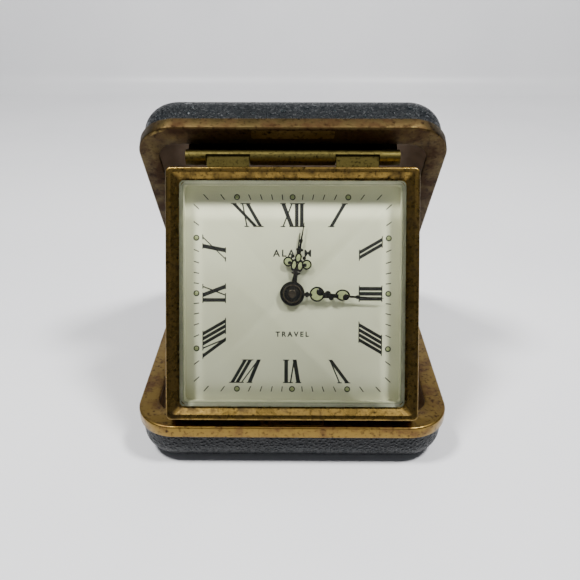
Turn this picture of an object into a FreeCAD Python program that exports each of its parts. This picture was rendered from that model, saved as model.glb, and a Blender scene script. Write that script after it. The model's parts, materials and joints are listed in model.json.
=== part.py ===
import FreeCAD, Part
import math
import os

# Folding travel alarm clock, standing open. Millimetres, +Z up, +Y to the rear.
# The origin is the middle of the base's underside.

V = FreeCAD.Vector
X_AXIS = V(1, 0, 0)
Z_AXIS = V(0, 0, 1)

# --- driving dimensions -------------------------------------------------------------------------
CASE_WIDTH = 80.0
CASE_DEPTH = 78.0
HALF_HEIGHT = 13.0
RIM_CORNER = 10.5
RIM_BAND_HEIGHT = 3.2
RIM_EDGE = 0.35
BASE_CATCH = 16.0
LID_CATCH = 20.8
CATCH_DEPTH = 3.0
CATCH_FROM_FRONT = 0.8
CATCH_SUNK = 0.5
CATCH_PROUD = 0.1
FLANGE_THICKNESS = 1.0
FLANGE_FRONT = 6.0
FLANGE_SIDE = 5.0
FLANGE_REAR = 2.0
OPENING_CORNER = 6.0
LEATHER_INSET = 0.8
LEATHER_EDGE = 6.5
LEATHER = 0.8
SHELL = 0.5
LINING = 0.4

REAR_HINGE_Y = CASE_DEPTH / 2 + 1.2
REAR_BARREL = 1.1
REAR_PIN = 0.6
REAR_HINGE_LENGTH = 50.0
REAR_KNUCKLES = 5
REAR_LEAF = 0.5
LID_ANGLE = 55.7
RUNNING = 0.03

CLOCK_PIVOT_Y = -31.0
CLOCK_PIVOT_Z = HALF_HEIGHT - 2.56
CLOCK_BARREL = 2.0
CLOCK_PIN = 0.9
TAB_ROLL = 1.45
TAB_SLOT = 1.55
TAB_SHEET = 0.8
TAB_FOOT_END = -14.0
SLOT_EDGE = 196.0
LEAF_SHEET = 0.6
LEAF_WEB = 0.45
LEAF_CLEAR = 0.2
LEAF_SHELF = 18.4
KNUCKLE_MIDDLE = 10.8
KNUCKLE_TAB_END = 21.8
KNUCKLE_END = 27.2
KNUCKLE_GAP = 0.2
FACE_LEAN = 27.0
FACE_BELOW_PIVOT = 34.73
FACE_AHEAD_OF_PIVOT = 8.44

BEZEL = 62.0
BEZEL_DEPTH = 5.2
BEZEL_RIDGE = 59.0
WINDOW = 55.7
CASE_CAN = 58.0
CAN_WALL = 0.8
COVER_LIP = 56.3
PLATE = 50.0
POST = 22.5
DIAL_POST = 19.0
SCREW = 0.6
SCREW_HEAD = 1.5
SCREW_HEAD_HEIGHT = 0.6
SCREW_END = -12.0

# Depths behind the bezel's front, from front to rear.
CRYSTAL_SEAT = -2.8
DIAL_FRONT = -6.0
DIAL_BACK = -6.4
FRONT_PLATE = (-9.6, -8.6)
BACK_PLATE = (-15.4, -14.4)
COVER = (-16.8, -16.2)
KEY_END = -20.5
ARBOR_END = -17.3
MINUTE_HAND_Z = (-4.3, -4.1)
HOUR_HAND_Z = (-4.9, -4.7)
ALARM_HAND_Z = (-5.5, -5.3)
ALARM_PINION_Z = (-7.0, -6.55)
ALARM_WHEEL_Z = (-6.95, -6.6)
HOUR_WHEEL_Z = (-7.6, -7.2)
MINUTE_PINION_Z = (-7.9, -7.2)
MINUTE_WHEEL_Z = (-8.3, -7.9)
CANNON_Z = (-8.4, -7.8)
CENTRE_WHEEL_Z = (-10.3, -9.9)
THIRD_PINION_Z = (-10.6, -9.8)
THIRD_WHEEL_Z = (-11.0, -10.6)
FOURTH_PINION_Z = (-11.3, -10.4)
FOURTH_WHEEL_Z = (-11.6, -11.3)
ESCAPE_PINION_Z = (-12.0, -11.1)
ESCAPE_WHEEL_Z = (-12.3, -12.0)
LEVER_BOSS_Z = (-12.4, -11.6)
ROLLER_FRONT = -12.5
BALANCE_ARM_Z = (-13.6, -13.2)
BALANCE_RIM_Z = (-13.7, -13.1)
HAIRSPRING_Z = (-14.2, -13.95)
DRUM_Z = (-13.9, -10.6)
DRUM_TEETH_Z = (-13.9, -13.1)
DRUM_HOLLOW_Z = (-13.5, -11.0)
MAINSPRING_Z = (-13.4, -11.1)
TRAIN_PINION_Z = (-14.0, -13.0)
STRIKE_WHEEL_Z = (-10.3, -9.9)
HAMMER_Z = (-10.4, -9.9)
HAMMER_HEAD_Z = (-10.5, -9.8)
RATCHET_Z = (-15.9, -15.55)
REGULATOR_Z = (-15.85, -15.5)
STOP_PLATE_Z = (-16.05, -15.65)
STOP_NECK_Z = (-17.1, -15.9)
STOP_BUTTON_Z = (-18.4, -17.0)
KNOB_GRIP_Z = (KEY_END + 0.1, -18.2)
KNOB_NECK_Z = (-18.2, -17.1)
KEY_BOSS_Z = (-18.9, -17.3)
THROUGH_Z = (-30.0, 10.0)

# Wheelwork: tooth counts and modules.
BARREL_TEETH, CENTRE_LEAVES, BARREL_MODULE = 72, 12, 0.35
CENTRE_TEETH, THIRD_LEAVES, CENTRE_MODULE = 60, 8, 0.30
THIRD_TEETH, FOURTH_LEAVES, THIRD_MODULE = 64, 8, 0.25
FOURTH_TEETH, ESCAPE_LEAVES, FOURTH_MODULE = 70, 7, 0.20
CANNON_LEAVES, MINUTE_TEETH, MINUTE_MODULE = 12, 36, 0.25
MINUTE_LEAVES, HOUR_TEETH, HOUR_MODULE = 10, 40, 0.24
ALARM_TEETH, ALARM_LEAVES, ALARM_MODULE = 60, 16, 0.30
STRIKE_BARREL_TEETH, STRIKE_LEAVES, STRIKE_MODULE = 60, 10, 0.35

WHEEL_FORM = dict(add=0.95, root=1.15, at_root=0.24, at_pitch=0.20, at_tip=0.07)
PINION_FORM = dict(add=0.55, root=1.25, at_root=0.15, at_pitch=0.17, at_tip=0.07)


def polar(centre, distance, degrees):
    """Point at a distance and direction from a centre, seen from the front."""
    a = math.radians(degrees)
    return (centre[0] + distance * math.cos(a), centre[1] + distance * math.sin(a))


def centre_distance(teeth, leaves, module):
    return (teeth + leaves) * module / 2


# Where each arbor stands on the plates, seen from the front, and the way to the one before it.
CENTRE = (0.0, 0.0)
BARREL_WAY, THIRD_WAY, FOURTH_WAY, ESCAPE_WAY = 215.0, 60.0, 150.0, 175.0
MINUTE_WAY, ALARM_WAY, STRIKE_WAY = 240.0, 5.0, 200.0
BARREL_AT = polar(CENTRE, centre_distance(BARREL_TEETH, CENTRE_LEAVES, BARREL_MODULE), BARREL_WAY)
THIRD_AT = polar(CENTRE, centre_distance(CENTRE_TEETH, THIRD_LEAVES, CENTRE_MODULE), THIRD_WAY)
FOURTH_AT = polar(THIRD_AT, centre_distance(THIRD_TEETH, FOURTH_LEAVES, THIRD_MODULE), FOURTH_WAY)
ESCAPE_AT = polar(FOURTH_AT, centre_distance(FOURTH_TEETH, ESCAPE_LEAVES, FOURTH_MODULE), ESCAPE_WAY)
MINUTE_AT = polar(CENTRE, centre_distance(MINUTE_TEETH, CANNON_LEAVES, MINUTE_MODULE), MINUTE_WAY)
ALARM_SET_AT = polar(CENTRE, centre_distance(ALARM_TEETH, ALARM_LEAVES, ALARM_MODULE), ALARM_WAY)
ALARM_BARREL_AT = (13.5, -11.0)
STRIKE_AT = polar(ALARM_BARREL_AT,
                  centre_distance(STRIKE_BARREL_TEETH, STRIKE_LEAVES, STRIKE_MODULE), STRIKE_WAY)
BALANCE_AT = (-17.6, 11.5)
LEVER_REACH = 4.5
LEVER_WAY = math.degrees(math.atan2(BALANCE_AT[1] - ESCAPE_AT[1], BALANCE_AT[0] - ESCAPE_AT[0]))
LEVER_AT = polar(ESCAPE_AT, LEVER_REACH, LEVER_WAY)
HAMMER_AT = (3.0, -22.3)
STOP_AT = (-2.0, 22.0)
REGULATOR_ARM = 8.0
HAMMER_ARM = 12.0

BARREL_RADIUS = 12.0
ALARM_BARREL_RADIUS = 9.9
ESCAPE_RADIUS = 3.5
BALANCE_RADIUS = 6.5
ARBOR = 0.45
PIVOT = 0.3
JEWEL = 0.8
BALANCE_JEWEL = 0.7
CENTRE_ARBOR = 0.6
ALARM_SET_ARBOR = 0.5
STUD = 0.47
CANNON_PIPE = 1.0
HOUR_PIPE = 1.5
ALARM_PIPE = 1.9
PIPE_CLEAR = 0.05
WINDING_ARBOR = 1.5
WINDING_STEM = 1.2
WINDING_PIVOT = 0.8
SPOKE_HALF_ANGLE = 9.0
ESCAPE_TEETH = 15
RATCHET_TEETH = 20
STRIKE_TEETH = 12
BALANCE_SCREWS = 12
KNOB_FLUTES = 28
TIME_KNOB = 4.2
ALARM_KNOB = 3.4
CLICK_REACH = 5.6
CLICK_STUD = 0.4
GOING_CLICK_WAY = 60.0
ALARM_CLICK_WAY = 250.0
GOING_KEY_AT = 35.0
ALARM_KEY_AT = 145.0

# Where the hands point, clockwise from twelve.
MINUTE_HAND_AT = 92.7
HOUR_HAND_AT = 9.4
ALARM_HAND_AT = 7.1


# --- general shapes -----------------------------------------------------------------------------
def rounded_wire(x0, x1, y0, y1, radius, z):
    """Closed rectangle in the XY plane with round corners."""
    r = radius
    h = radius * (1 - math.sqrt(0.5))
    corners = [(V(x1 - r, y0, z), V(x1 - h, y0 + h, z), V(x1, y0 + r, z)),
               (V(x1, y1 - r, z), V(x1 - h, y1 - h, z), V(x1 - r, y1, z)),
               (V(x0 + r, y1, z), V(x0 + h, y1 - h, z), V(x0, y1 - r, z)),
               (V(x0, y0 + r, z), V(x0 + h, y0 + h, z), V(x0 + r, y0, z))]
    edges = []
    for i, corner in enumerate(corners):
        edges.append(Part.LineSegment(corners[i - 1][2], corner[0]).toShape())
        edges.append(Part.Arc(*corner).toShape())
    return Part.Wire(edges)


def slab(x0, x1, y0, y1, radius, z0, z1):
    return Part.Face(rounded_wire(x0, x1, y0, y1, radius, z0)).extrude(V(0, 0, z1 - z0))


def square(side, radius, z0, z1):
    return slab(-side / 2, side / 2, -side / 2, side / 2, radius, z0, z1)


def box(x0, x1, y0, y1, z0, z1):
    return Part.makeBox(x1 - x0, y1 - y0, z1 - z0, V(x0, y0, z0))


def disc(at, radius, z0, z1):
    return Part.makeCylinder(radius, z1 - z0, V(at[0], at[1], z0))


def hole(at, radius):
    """Drill through the whole clock head."""
    return disc(at, radius, *THROUGH_Z)


def rod_x(x0, x1, y, z, radius):
    return Part.makeCylinder(radius, x1 - x0, V(x0, y, z), X_AXIS)


def ring(at, outer, inner, z0, z1):
    return disc(at, outer, z0, z1).cut(disc(at, inner, z0, z1))


def prism(points, z0, z1):
    wire = Part.makePolygon([V(x, y, z0) for x, y in points + points[:1]])
    return Part.Face(wire).extrude(V(0, 0, z1 - z0))


def fuse(shapes):
    return shapes[0].multiFuse(shapes[1:]).removeSplitter()


def edges_at(shape, z):
    """Edges that lie wholly in the plane at height z."""
    found = []
    for edge in shape.Edges:
        limits = edge.BoundBox
        if max(abs(limits.ZMin - z), abs(limits.ZMax - z)) < 1e-6:
            found.append(edge)
    return found


# --- the two leather-covered halves -------------------------------------------------------------
def half_block(inset, z0, z1, edge_radius):
    """Solid of the half case, inset from the rim, with its lower edge rounded."""
    x = CASE_WIDTH / 2 - inset
    y = CASE_DEPTH / 2 - inset
    block = slab(-x, x, -y, y, RIM_CORNER - inset, z0, z1)
    return block.makeFillet(edge_radius, edges_at(block, z0))


def half_layer(inset, z0, thickness, edge_radius):
    """One layer of the half case: a tray whose wall has this thickness."""
    top = HALF_HEIGHT - FLANGE_THICKNESS
    outer = half_block(inset, z0, top, edge_radius)
    inner = half_block(inset + thickness, z0 + thickness, top + 1, edge_radius - thickness)
    return outer.cut(inner)


def half_leather():
    return half_layer(LEATHER_INSET, 0, LEATHER, LEATHER_EDGE)


def half_shell():
    return half_layer(LEATHER_INSET + LEATHER, LEATHER, SHELL, LEATHER_EDGE - LEATHER)


def half_lining():
    depth = LEATHER + SHELL
    return half_layer(LEATHER_INSET + depth, depth, LINING, LEATHER_EDGE - depth)


def half_rim(catch_width):
    """Brass band and flat flange, with the pocket for the catch plate."""
    x = CASE_WIDTH / 2
    y = CASE_DEPTH / 2
    outer = slab(-x, x, -y, y, RIM_CORNER, HALF_HEIGHT - RIM_BAND_HEIGHT, HALF_HEIGHT)
    outer = outer.makeFillet(RIM_EDGE, edges_at(outer, HALF_HEIGHT))
    xi = x - LEATHER_INSET
    yi = y - LEATHER_INSET
    under = slab(-xi, xi, -yi, yi, RIM_CORNER - LEATHER_INSET, 0, HALF_HEIGHT - FLANGE_THICKNESS)
    opening = slab(-x + FLANGE_SIDE, x - FLANGE_SIDE, -y + FLANGE_FRONT, y - FLANGE_REAR,
                   OPENING_CORNER, 0, HALF_HEIGHT + 1)
    return outer.cut(under).cut(opening).cut(catch_plate(catch_width))


def catch_plate(width):
    """Plate let into the front flange, a little proud of it."""
    front = -CASE_DEPTH / 2 + CATCH_FROM_FRONT
    return slab(-width / 2, width / 2, front, front + CATCH_DEPTH, 0.6,
                HALF_HEIGHT - CATCH_SUNK, HALF_HEIGHT + CATCH_PROUD)


def rear_leaf(spans, bore):
    """Hinge leaf on the back of a half case, with knuckles over these spans of X."""
    back = CASE_DEPTH / 2
    half = REAR_HINGE_LENGTH / 2
    outside = back + REAR_LEAF
    leaf = [slab(-half, half, back, outside, 0.2, HALF_HEIGHT - 3.1, HALF_HEIGHT - 1.35)]
    for x0, x1 in spans:
        leaf.append(box(x0, x1, back, outside, HALF_HEIGHT - 2.0, HALF_HEIGHT - 0.5))
        leaf.append(rod_x(x0, x1, REAR_HINGE_Y, HALF_HEIGHT, REAR_BARREL))
    return fuse(leaf).cut(rod_x(-half, half, REAR_HINGE_Y, HALF_HEIGHT, bore))


def rear_spans():
    """Spans of the rear knuckles: the base has the first and every other one, the lid the rest."""
    step = REAR_HINGE_LENGTH / REAR_KNUCKLES
    left = -REAR_HINGE_LENGTH / 2
    spans = []
    for i in range(REAR_KNUCKLES):
        gap_left = 0 if i == 0 else KNUCKLE_GAP / 2
        gap_right = 0 if i == REAR_KNUCKLES - 1 else KNUCKLE_GAP / 2
        spans.append((left + i * step + gap_left, left + (i + 1) * step - gap_right))
    return spans


def rear_pin():
    half = REAR_HINGE_LENGTH / 2
    return rod_x(-half, half, REAR_HINGE_Y, HALF_HEIGHT, REAR_PIN)


def on_lid(shape):
    """Turns a shape of the lower half into the upper half, opened to its standing angle."""
    lid = shape.mirror(V(0, 0, HALF_HEIGHT), Z_AXIS)
    return opened(lid)


def opened(shape):
    """Turns a shape of the closed lid to its standing angle."""
    turned = shape.copy()
    turned.rotate(V(0, REAR_HINGE_Y, HALF_HEIGHT), X_AXIS, -LID_ANGLE)
    return turned


def clock_hinge_spans():
    return [(-KNUCKLE_END, -KNUCKLE_TAB_END - KNUCKLE_GAP), (-KNUCKLE_MIDDLE, KNUCKLE_MIDDLE),
            (KNUCKLE_TAB_END + KNUCKLE_GAP, KNUCKLE_END)]


def clock_hinge_cover():
    """Open tube over the clock's tabs: it leaves a slot at the front for them to swing in."""
    y, z = CLOCK_PIVOT_Y, CLOCK_PIVOT_Z
    tube = rod_x(-KNUCKLE_END, KNUCKLE_END, y, z, CLOCK_BARREL)
    tube = tube.cut(rod_x(-KNUCKLE_END, KNUCKLE_END, y, z, TAB_SLOT))
    way = math.radians(SLOT_EDGE)
    reach = 2 * CLOCK_BARREL
    edge = V(0, y + reach * math.cos(way), z + reach * math.sin(way))
    corners = [V(0, y, z), edge, V(0, edge.y, z + reach), V(0, y + reach, z + reach), V(0, y + reach, z)]
    sector = Part.Face(Part.makePolygon(corners + corners[:1])).extrude(V(2 * KNUCKLE_END, 0, 0))
    sector.translate(V(-KNUCKLE_END, 0, 0))
    return tube.common(sector)


def clock_hinge_leaf():
    """Leaf on the lid's front wall: shelf, web and the barrel with its two slots for the tabs."""
    y, z = CLOCK_PIVOT_Y, CLOCK_PIVOT_Z
    x = KNUCKLE_END
    wall = -CASE_DEPTH / 2 + LEATHER_INSET + LEATHER + SHELL + LINING + LEAF_CLEAR
    back = y + CLOCK_BARREL
    foot = box(-x, x, wall, wall + LEAF_SHEET, HALF_HEIGHT + FLANGE_THICKNESS + LEAF_CLEAR, LEAF_SHELF)
    shelf = box(-x, x, wall, back, LEAF_SHELF, LEAF_SHELF + LEAF_SHEET)
    web = box(-x, x, back - LEAF_WEB, back, z, LEAF_SHELF)
    knuckles = [rod_x(x0, x1, y, z, CLOCK_BARREL) for x0, x1 in clock_hinge_spans()]
    leaf = fuse([foot, shelf, web, clock_hinge_cover()] + knuckles)
    return leaf.cut(rod_x(-x, x, y, z, CLOCK_PIN))


def clock_hinge_pin():
    return rod_x(-KNUCKLE_END, KNUCKLE_END, CLOCK_PIVOT_Y, CLOCK_PIVOT_Z, CLOCK_PIN)


# --- clock head, in its own frame: x right, y up the face, z out of the face ---------------------
def on_clock(shape):
    """Places a shape of the clock head at its standing place."""
    pivot = V(0, CLOCK_PIVOT_Y - REAR_HINGE_Y, CLOCK_PIVOT_Z - HALF_HEIGHT)
    pivot = FreeCAD.Rotation(X_AXIS, -LID_ANGLE).multVec(pivot) + V(0, REAR_HINGE_Y, HALF_HEIGHT)
    turn = FreeCAD.Rotation(X_AXIS, 90 - FACE_LEAN)
    place = pivot + turn.multVec(V(0, -FACE_BELOW_PIVOT, FACE_AHEAD_OF_PIVOT))
    placed = shape.copy()
    placed.Placement = FreeCAD.Placement(place, turn)
    return placed


def bezel():
    body = square(BEZEL, 1.4, -BEZEL_DEPTH, 0)
    body = body.makeFillet(0.45, edges_at(body, 0))
    half_out = BEZEL_RIDGE / 2
    half_in = WINDOW / 2
    slope = Part.makeLoft([rounded_wire(-half_out, half_out, -half_out, half_out, 1.2, 0.01),
                           rounded_wire(-half_in, half_in, -half_in, half_in, 1.2, -1.3)], True)
    window = square(WINDOW, 1.2, CRYSTAL_SEAT - 1, -1.2)
    cavity = square(57.4, 1.6, -BEZEL_DEPTH - 1, CRYSTAL_SEAT)
    return body.cut(slope).cut(window).cut(cavity)


def crystal():
    """Box crystal with rounded front edges and a flange held under the bezel."""
    dome = square(WINDOW - 0.2, 1.1, CRYSTAL_SEAT - 0.3, -0.2)
    dome = dome.makeFillet(1.0, edges_at(dome, -0.2))
    flange = square(57.2, 1.5, CRYSTAL_SEAT - 0.6, CRYSTAL_SEAT)
    hollow = square(53.7, 1.0, CRYSTAL_SEAT - 2, -1.1)
    return fuse([dome, flange]).cut(hollow)


def dial_spacer():
    outer = square(56.2, 2.6, DIAL_FRONT, CRYSTAL_SEAT - 0.6)
    return outer.cut(square(54.2, 1.0, DIAL_FRONT - 1, CRYSTAL_SEAT))


def dial():
    return square(56.2, 2.6, DIAL_BACK, DIAL_FRONT).cut(hole(CENTRE, 2.0))


def case_can():
    outer = square(CASE_CAN, 3.0, COVER[1], -BEZEL_DEPTH)
    return outer.cut(square(CASE_CAN - 2 * CAN_WALL, 2.2, COVER[1] - 1, 0))


def clock_hinge_tabs():
    """Two sheet tabs on top of the clock, each rolled round the hinge pin."""
    top = CASE_CAN / 2
    front = -FACE_AHEAD_OF_PIVOT + TAB_ROLL
    tabs = []
    for side in (-1, 1):
        x0, x1 = sorted((side * (KNUCKLE_MIDDLE + KNUCKLE_GAP), side * KNUCKLE_TAB_END))
        foot = box(x0, x1, top, top + TAB_SHEET, TAB_FOOT_END, front)
        web = box(x0, x1, top, FACE_BELOW_PIVOT, front - TAB_SHEET, front)
        roll = rod_x(x0, x1, FACE_BELOW_PIVOT, -FACE_AHEAD_OF_PIVOT, TAB_ROLL)
        bore = rod_x(x0, x1, FACE_BELOW_PIVOT, -FACE_AHEAD_OF_PIVOT, CLOCK_PIN + RUNNING)
        tabs.append(fuse([foot, web, roll]).cut(bore))
    return Part.makeCompound(tabs)


def corner_places(reach):
    return [(sx * reach, sy * reach) for sx in (-1, 1) for sy in (-1, 1)]


def post_places():
    return corner_places(POST)


def back_cover():
    plate = square(CASE_CAN, 3.0, COVER[0], COVER[1])
    lip = square(COVER_LIP, 2.1, COVER[1], COVER[1] + 0.6)
    lip = lip.cut(square(COVER_LIP - 1.2, 1.6, *THROUGH_Z))
    holes = [hole(CENTRE, 1.0), hole(ALARM_SET_AT, 0.9), stop_slot(), regulator_slot()]
    holes += [hole(at, WINDING_STEM + 0.4) for at in (BARREL_AT, ALARM_BARREL_AT)]
    holes += [hole(at, SCREW) for at in post_places()]
    return fuse([plate, lip]).cut(fuse(holes))


def stop_slot():
    x, y = STOP_AT
    return slab(x - 1.3, x + 5.3, y - 0.8, y + 0.8, 0.7, *THROUGH_Z)


def regulator_slot():
    """Curved slot round the balance's axis for the regulator's pin."""
    arc = ring(BALANCE_AT, REGULATOR_ARM + 0.8, REGULATOR_ARM - 0.8, *THROUGH_Z)
    x, y = BALANCE_AT
    wedge = prism([(x, y), (x - 4.0, y + 11.0), (x + 4.0, y + 11.0)], *THROUGH_Z)
    return arc.common(wedge)


def shared_bores():
    """Bearings that both plates have."""
    bores = [hole(CENTRE, CENTRE_ARBOR + RUNNING), hole(ALARM_SET_AT, ALARM_SET_ARBOR + RUNNING)]
    bores += [hole(at, WINDING_PIVOT + RUNNING) for at in (BARREL_AT, ALARM_BARREL_AT)]
    bores += [hole(at, PIVOT + RUNNING) for at in (THIRD_AT, STRIKE_AT, HAMMER_AT)]
    bores += [hole(at, JEWEL) for at in (FOURTH_AT, ESCAPE_AT)]
    return bores


def front_plate():
    """Front movement plate, with the dial's posts and the studs of the minute wheel and lever."""
    z0, z1 = FRONT_PLATE
    plate = square(PLATE, 3.0, z0, z1)
    posts = [disc(at, 1.4, z1, DIAL_BACK) for at in corner_places(DIAL_POST)]
    studs = [disc(MINUTE_AT, STUD, z1, MINUTE_PINION_Z[1] + 0.1),
             disc(LEVER_AT, PIVOT, LEVER_BOSS_Z[0] - 0.2, z0)]
    bores = shared_bores() + [hole(BALANCE_AT, JEWEL)]
    return fuse([plate] + posts + studs).cut(fuse(bores))


def back_plate():
    """Back movement plate, with the cover's posts and the regulator's boss."""
    z0, z1 = BACK_PLATE
    plate = square(PLATE, 3.0, z0, z1)
    posts = [disc(at, 2.0, COVER[1], z0) for at in post_places()]
    boss = disc(BALANCE_AT, 0.85, z0 - 0.5, z0)
    studs = [disc(polar(at, CLICK_REACH, way), CLICK_STUD, z0 - 0.6, z0)
             for at, way in ((BARREL_AT, GOING_CLICK_WAY), (ALARM_BARREL_AT, ALARM_CLICK_WAY))]
    bores = shared_bores() + [hole(at, SCREW) for at in post_places()]
    bores.append(hole(BALANCE_AT, BALANCE_JEWEL))
    return fuse([plate, boss] + posts + studs).cut(fuse(bores))


def plate_pillars():
    z0, z1 = BACK_PLATE[1], FRONT_PLATE[0]
    return Part.makeCompound([ring(at, 1.6, SCREW, z0, z1) for at in post_places()])


def cover_screws():
    """Four slotted screws that hold the cover and the movement together."""
    screws = []
    for at in post_places():
        x, y = at
        top = COVER[0] - SCREW_HEAD_HEIGHT
        head = disc(at, SCREW_HEAD, top, COVER[0])
        slot = box(x - 2, x + 2, y - 0.2, y + 0.2, top - 1, top + 0.3)
        screws.append(fuse([head, disc(at, SCREW, COVER[0], SCREW_END)]).cut(slot))
    return Part.makeCompound(screws)


def jewels():
    """Jewel rings in both plates for the fast pivots."""
    rings = []
    for at in (FOURTH_AT, ESCAPE_AT, BALANCE_AT):
        rings.append(ring(at, JEWEL, PIVOT + RUNNING, *FRONT_PLATE))
    for at in (FOURTH_AT, ESCAPE_AT):
        rings.append(ring(at, JEWEL, PIVOT + RUNNING, *BACK_PLATE))
    rings.append(ring(BALANCE_AT, BALANCE_JEWEL, PIVOT + RUNNING, BACK_PLATE[0] - 0.5, BACK_PLATE[1]))
    return Part.makeCompound(rings)


# --- wheelwork ----------------------------------------------------------------------------------
def gear(at, teeth, module, phase, levels, form):
    """Gear blank with straight-sided teeth that clear each other with backlash."""
    pitch = teeth * module / 2
    root = pitch - form["root"] * module
    tip = pitch + form["add"] * module
    angle = 2 * math.pi / teeth
    steps = ((root, -form["at_root"]), (pitch, -form["at_pitch"]), (tip, -form["at_tip"]),
             (tip, form["at_tip"]), (pitch, form["at_pitch"]), (root, form["at_root"]))
    points = []
    for k in range(teeth):
        for radius, part in steps:
            a = phase + (k + part) * angle
            points.append((at[0] + radius * math.cos(a), at[1] + radius * math.sin(a)))
    return prism(points, *levels)


def mesh_phase(phase, teeth, other, way):
    """Phase of a second gear so that its gap faces the first gear's nearest tooth."""
    way = math.radians(way)
    angle = 2 * math.pi / teeth
    nearest = phase + round((way - phase) / angle) * angle
    return way + math.pi + (way - nearest) * teeth / other + math.pi / other


def spokes(at, outer, hub, count):
    """Windows between the spokes of a wheel."""
    step = 360.0 / count
    reach = outer * 2.5
    cuts = []
    for k in range(count):
        a0 = step * k + SPOKE_HALF_ANGLE
        a1 = step * (k + 1) - SPOKE_HALF_ANGLE
        wedge = [at] + [polar(at, reach, a0 + (a1 - a0) * i / 3) for i in range(4)]
        cuts.append(ring(at, outer, hub, *THROUGH_Z).common(prism(wedge, *THROUGH_Z)))
    return fuse(cuts)


def arbor(at, radius, z0=BACK_PLATE[1] + 0.15, z1=FRONT_PLATE[0] - 0.15):
    """Arbor between the plates with a thinner pivot at each end."""
    return [disc(at, radius, z0, z1), disc(at, PIVOT, BACK_PLATE[0] + 0.1, FRONT_PLATE[1] - 0.1)]


def centre_wheel():
    sleeve = disc(CENTRE, 1.2, BACK_PLATE[1] + 0.2, FRONT_PLATE[0] - 0.2)
    pinion = gear(CENTRE, CENTRE_LEAVES, BARREL_MODULE, CENTRE_PHASE_PINION, TRAIN_PINION_Z, PINION_FORM)
    wheel = gear(CENTRE, CENTRE_TEETH, CENTRE_MODULE, CENTRE_PHASE, CENTRE_WHEEL_Z, WHEEL_FORM)
    wheel = wheel.cut(spokes(CENTRE, 7.4, 2.6, 5))
    return fuse([sleeve, pinion, wheel]).cut(hole(CENTRE, CENTRE_ARBOR + RUNNING))


def third_wheel():
    wheel = gear(THIRD_AT, THIRD_TEETH, THIRD_MODULE, THIRD_PHASE, THIRD_WHEEL_Z, WHEEL_FORM)
    wheel = wheel.cut(spokes(THIRD_AT, 6.6, 2.0, 4))
    pinion = gear(THIRD_AT, THIRD_LEAVES, CENTRE_MODULE, THIRD_PHASE_PINION, THIRD_PINION_Z, PINION_FORM)
    return fuse([wheel, pinion] + arbor(THIRD_AT, ARBOR))


def fourth_wheel():
    wheel = gear(FOURTH_AT, FOURTH_TEETH, FOURTH_MODULE, FOURTH_PHASE, FOURTH_WHEEL_Z, WHEEL_FORM)
    wheel = wheel.cut(spokes(FOURTH_AT, 5.9, 1.6, 4))
    pinion = gear(FOURTH_AT, FOURTH_LEAVES, THIRD_MODULE, FOURTH_PHASE_PINION, FOURTH_PINION_Z,
                  PINION_FORM)
    return fuse([wheel, pinion] + arbor(FOURTH_AT, ARBOR))


def escape_wheel():
    """Pointed teeth that lean forward, with the pinion on the same arbor."""
    root = ESCAPE_RADIUS - 0.9
    points = []
    for k in range(ESCAPE_TEETH):
        for radius, part in ((root, -0.30), (ESCAPE_RADIUS, 0.10), (ESCAPE_RADIUS, 0.24), (root, 0.12)):
            points.append(polar(ESCAPE_AT, radius, (k + part) * 360.0 / ESCAPE_TEETH))
    wheel = prism(points, *ESCAPE_WHEEL_Z).cut(spokes(ESCAPE_AT, 2.3, 1.0, 4))
    pinion = gear(ESCAPE_AT, ESCAPE_LEAVES, FOURTH_MODULE, ESCAPE_PHASE_PINION, ESCAPE_PINION_Z,
                  PINION_FORM)
    return fuse([wheel, pinion] + arbor(ESCAPE_AT, 0.4))


def pallet_lever():
    """Lever with two pallet arms round the escape wheel and a fork towards the balance."""
    z0, z1 = ESCAPE_WHEEL_Z
    band = ring(ESCAPE_AT, ESCAPE_RADIUS + 1.25, ESCAPE_RADIUS + 0.55, z0, z1)
    sector = [ESCAPE_AT] + [polar(ESCAPE_AT, 9, LEVER_WAY - 62 + 31 * i) for i in range(5)]
    arms = band.common(prism(sector, z0, z1))
    boss = disc(LEVER_AT, 0.75, *LEVER_BOSS_Z)
    reach = math.dist(BALANCE_AT, LEVER_AT) - 1.3
    stem = box(0, reach, -0.25, 0.25, z0, z1)
    stem.rotate(V(0, 0, 0), Z_AXIS, LEVER_WAY)
    stem.translate(V(LEVER_AT[0], LEVER_AT[1], 0))
    return fuse([arms, boss, stem]).cut(hole(LEVER_AT, PIVOT + RUNNING))


def balance_wheel():
    """Rim with two arms, staff, roller and impulse pin."""
    rim = ring(BALANCE_AT, BALANCE_RADIUS, BALANCE_RADIUS - 0.9, *BALANCE_RIM_Z)
    x, y = BALANCE_AT
    arm = box(x - 6.0, x + 6.0, y - 0.5, y + 0.5, *BALANCE_ARM_Z)
    hub = disc(BALANCE_AT, 1.0, BALANCE_ARM_Z[0], ROLLER_FRONT)
    pin = disc(polar(BALANCE_AT, 0.75, 30.0), 0.2, ROLLER_FRONT, ESCAPE_WHEEL_Z[1])
    screws = []
    for k in range(BALANCE_SCREWS):
        at = polar(BALANCE_AT, BALANCE_RADIUS - 0.45, (k + 0.5) * 360.0 / BALANCE_SCREWS)
        screws.append(disc(at, 0.35, BALANCE_RIM_Z[0] - 0.2, BALANCE_RIM_Z[1]))
    return fuse([rim, arm, hub, pin] + screws + arbor(BALANCE_AT, 0.35))


def spiral(at, inner, outer, turns, thickness, levels):
    """Flat coiled strip as a prism."""
    count = int(turns * 20)
    line = []
    for side in (0, thickness):
        row = []
        for i in range(count + 1):
            radius = inner + (outer - inner) * i / count + side
            row.append(polar(at, radius, 18.0 * i))
        line += row if side == 0 else row[::-1]
    return prism(line, *levels)


def hairspring():
    return spiral(BALANCE_AT, 0.5, 4.4, 7, 0.12, HAIRSPRING_Z)


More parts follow.
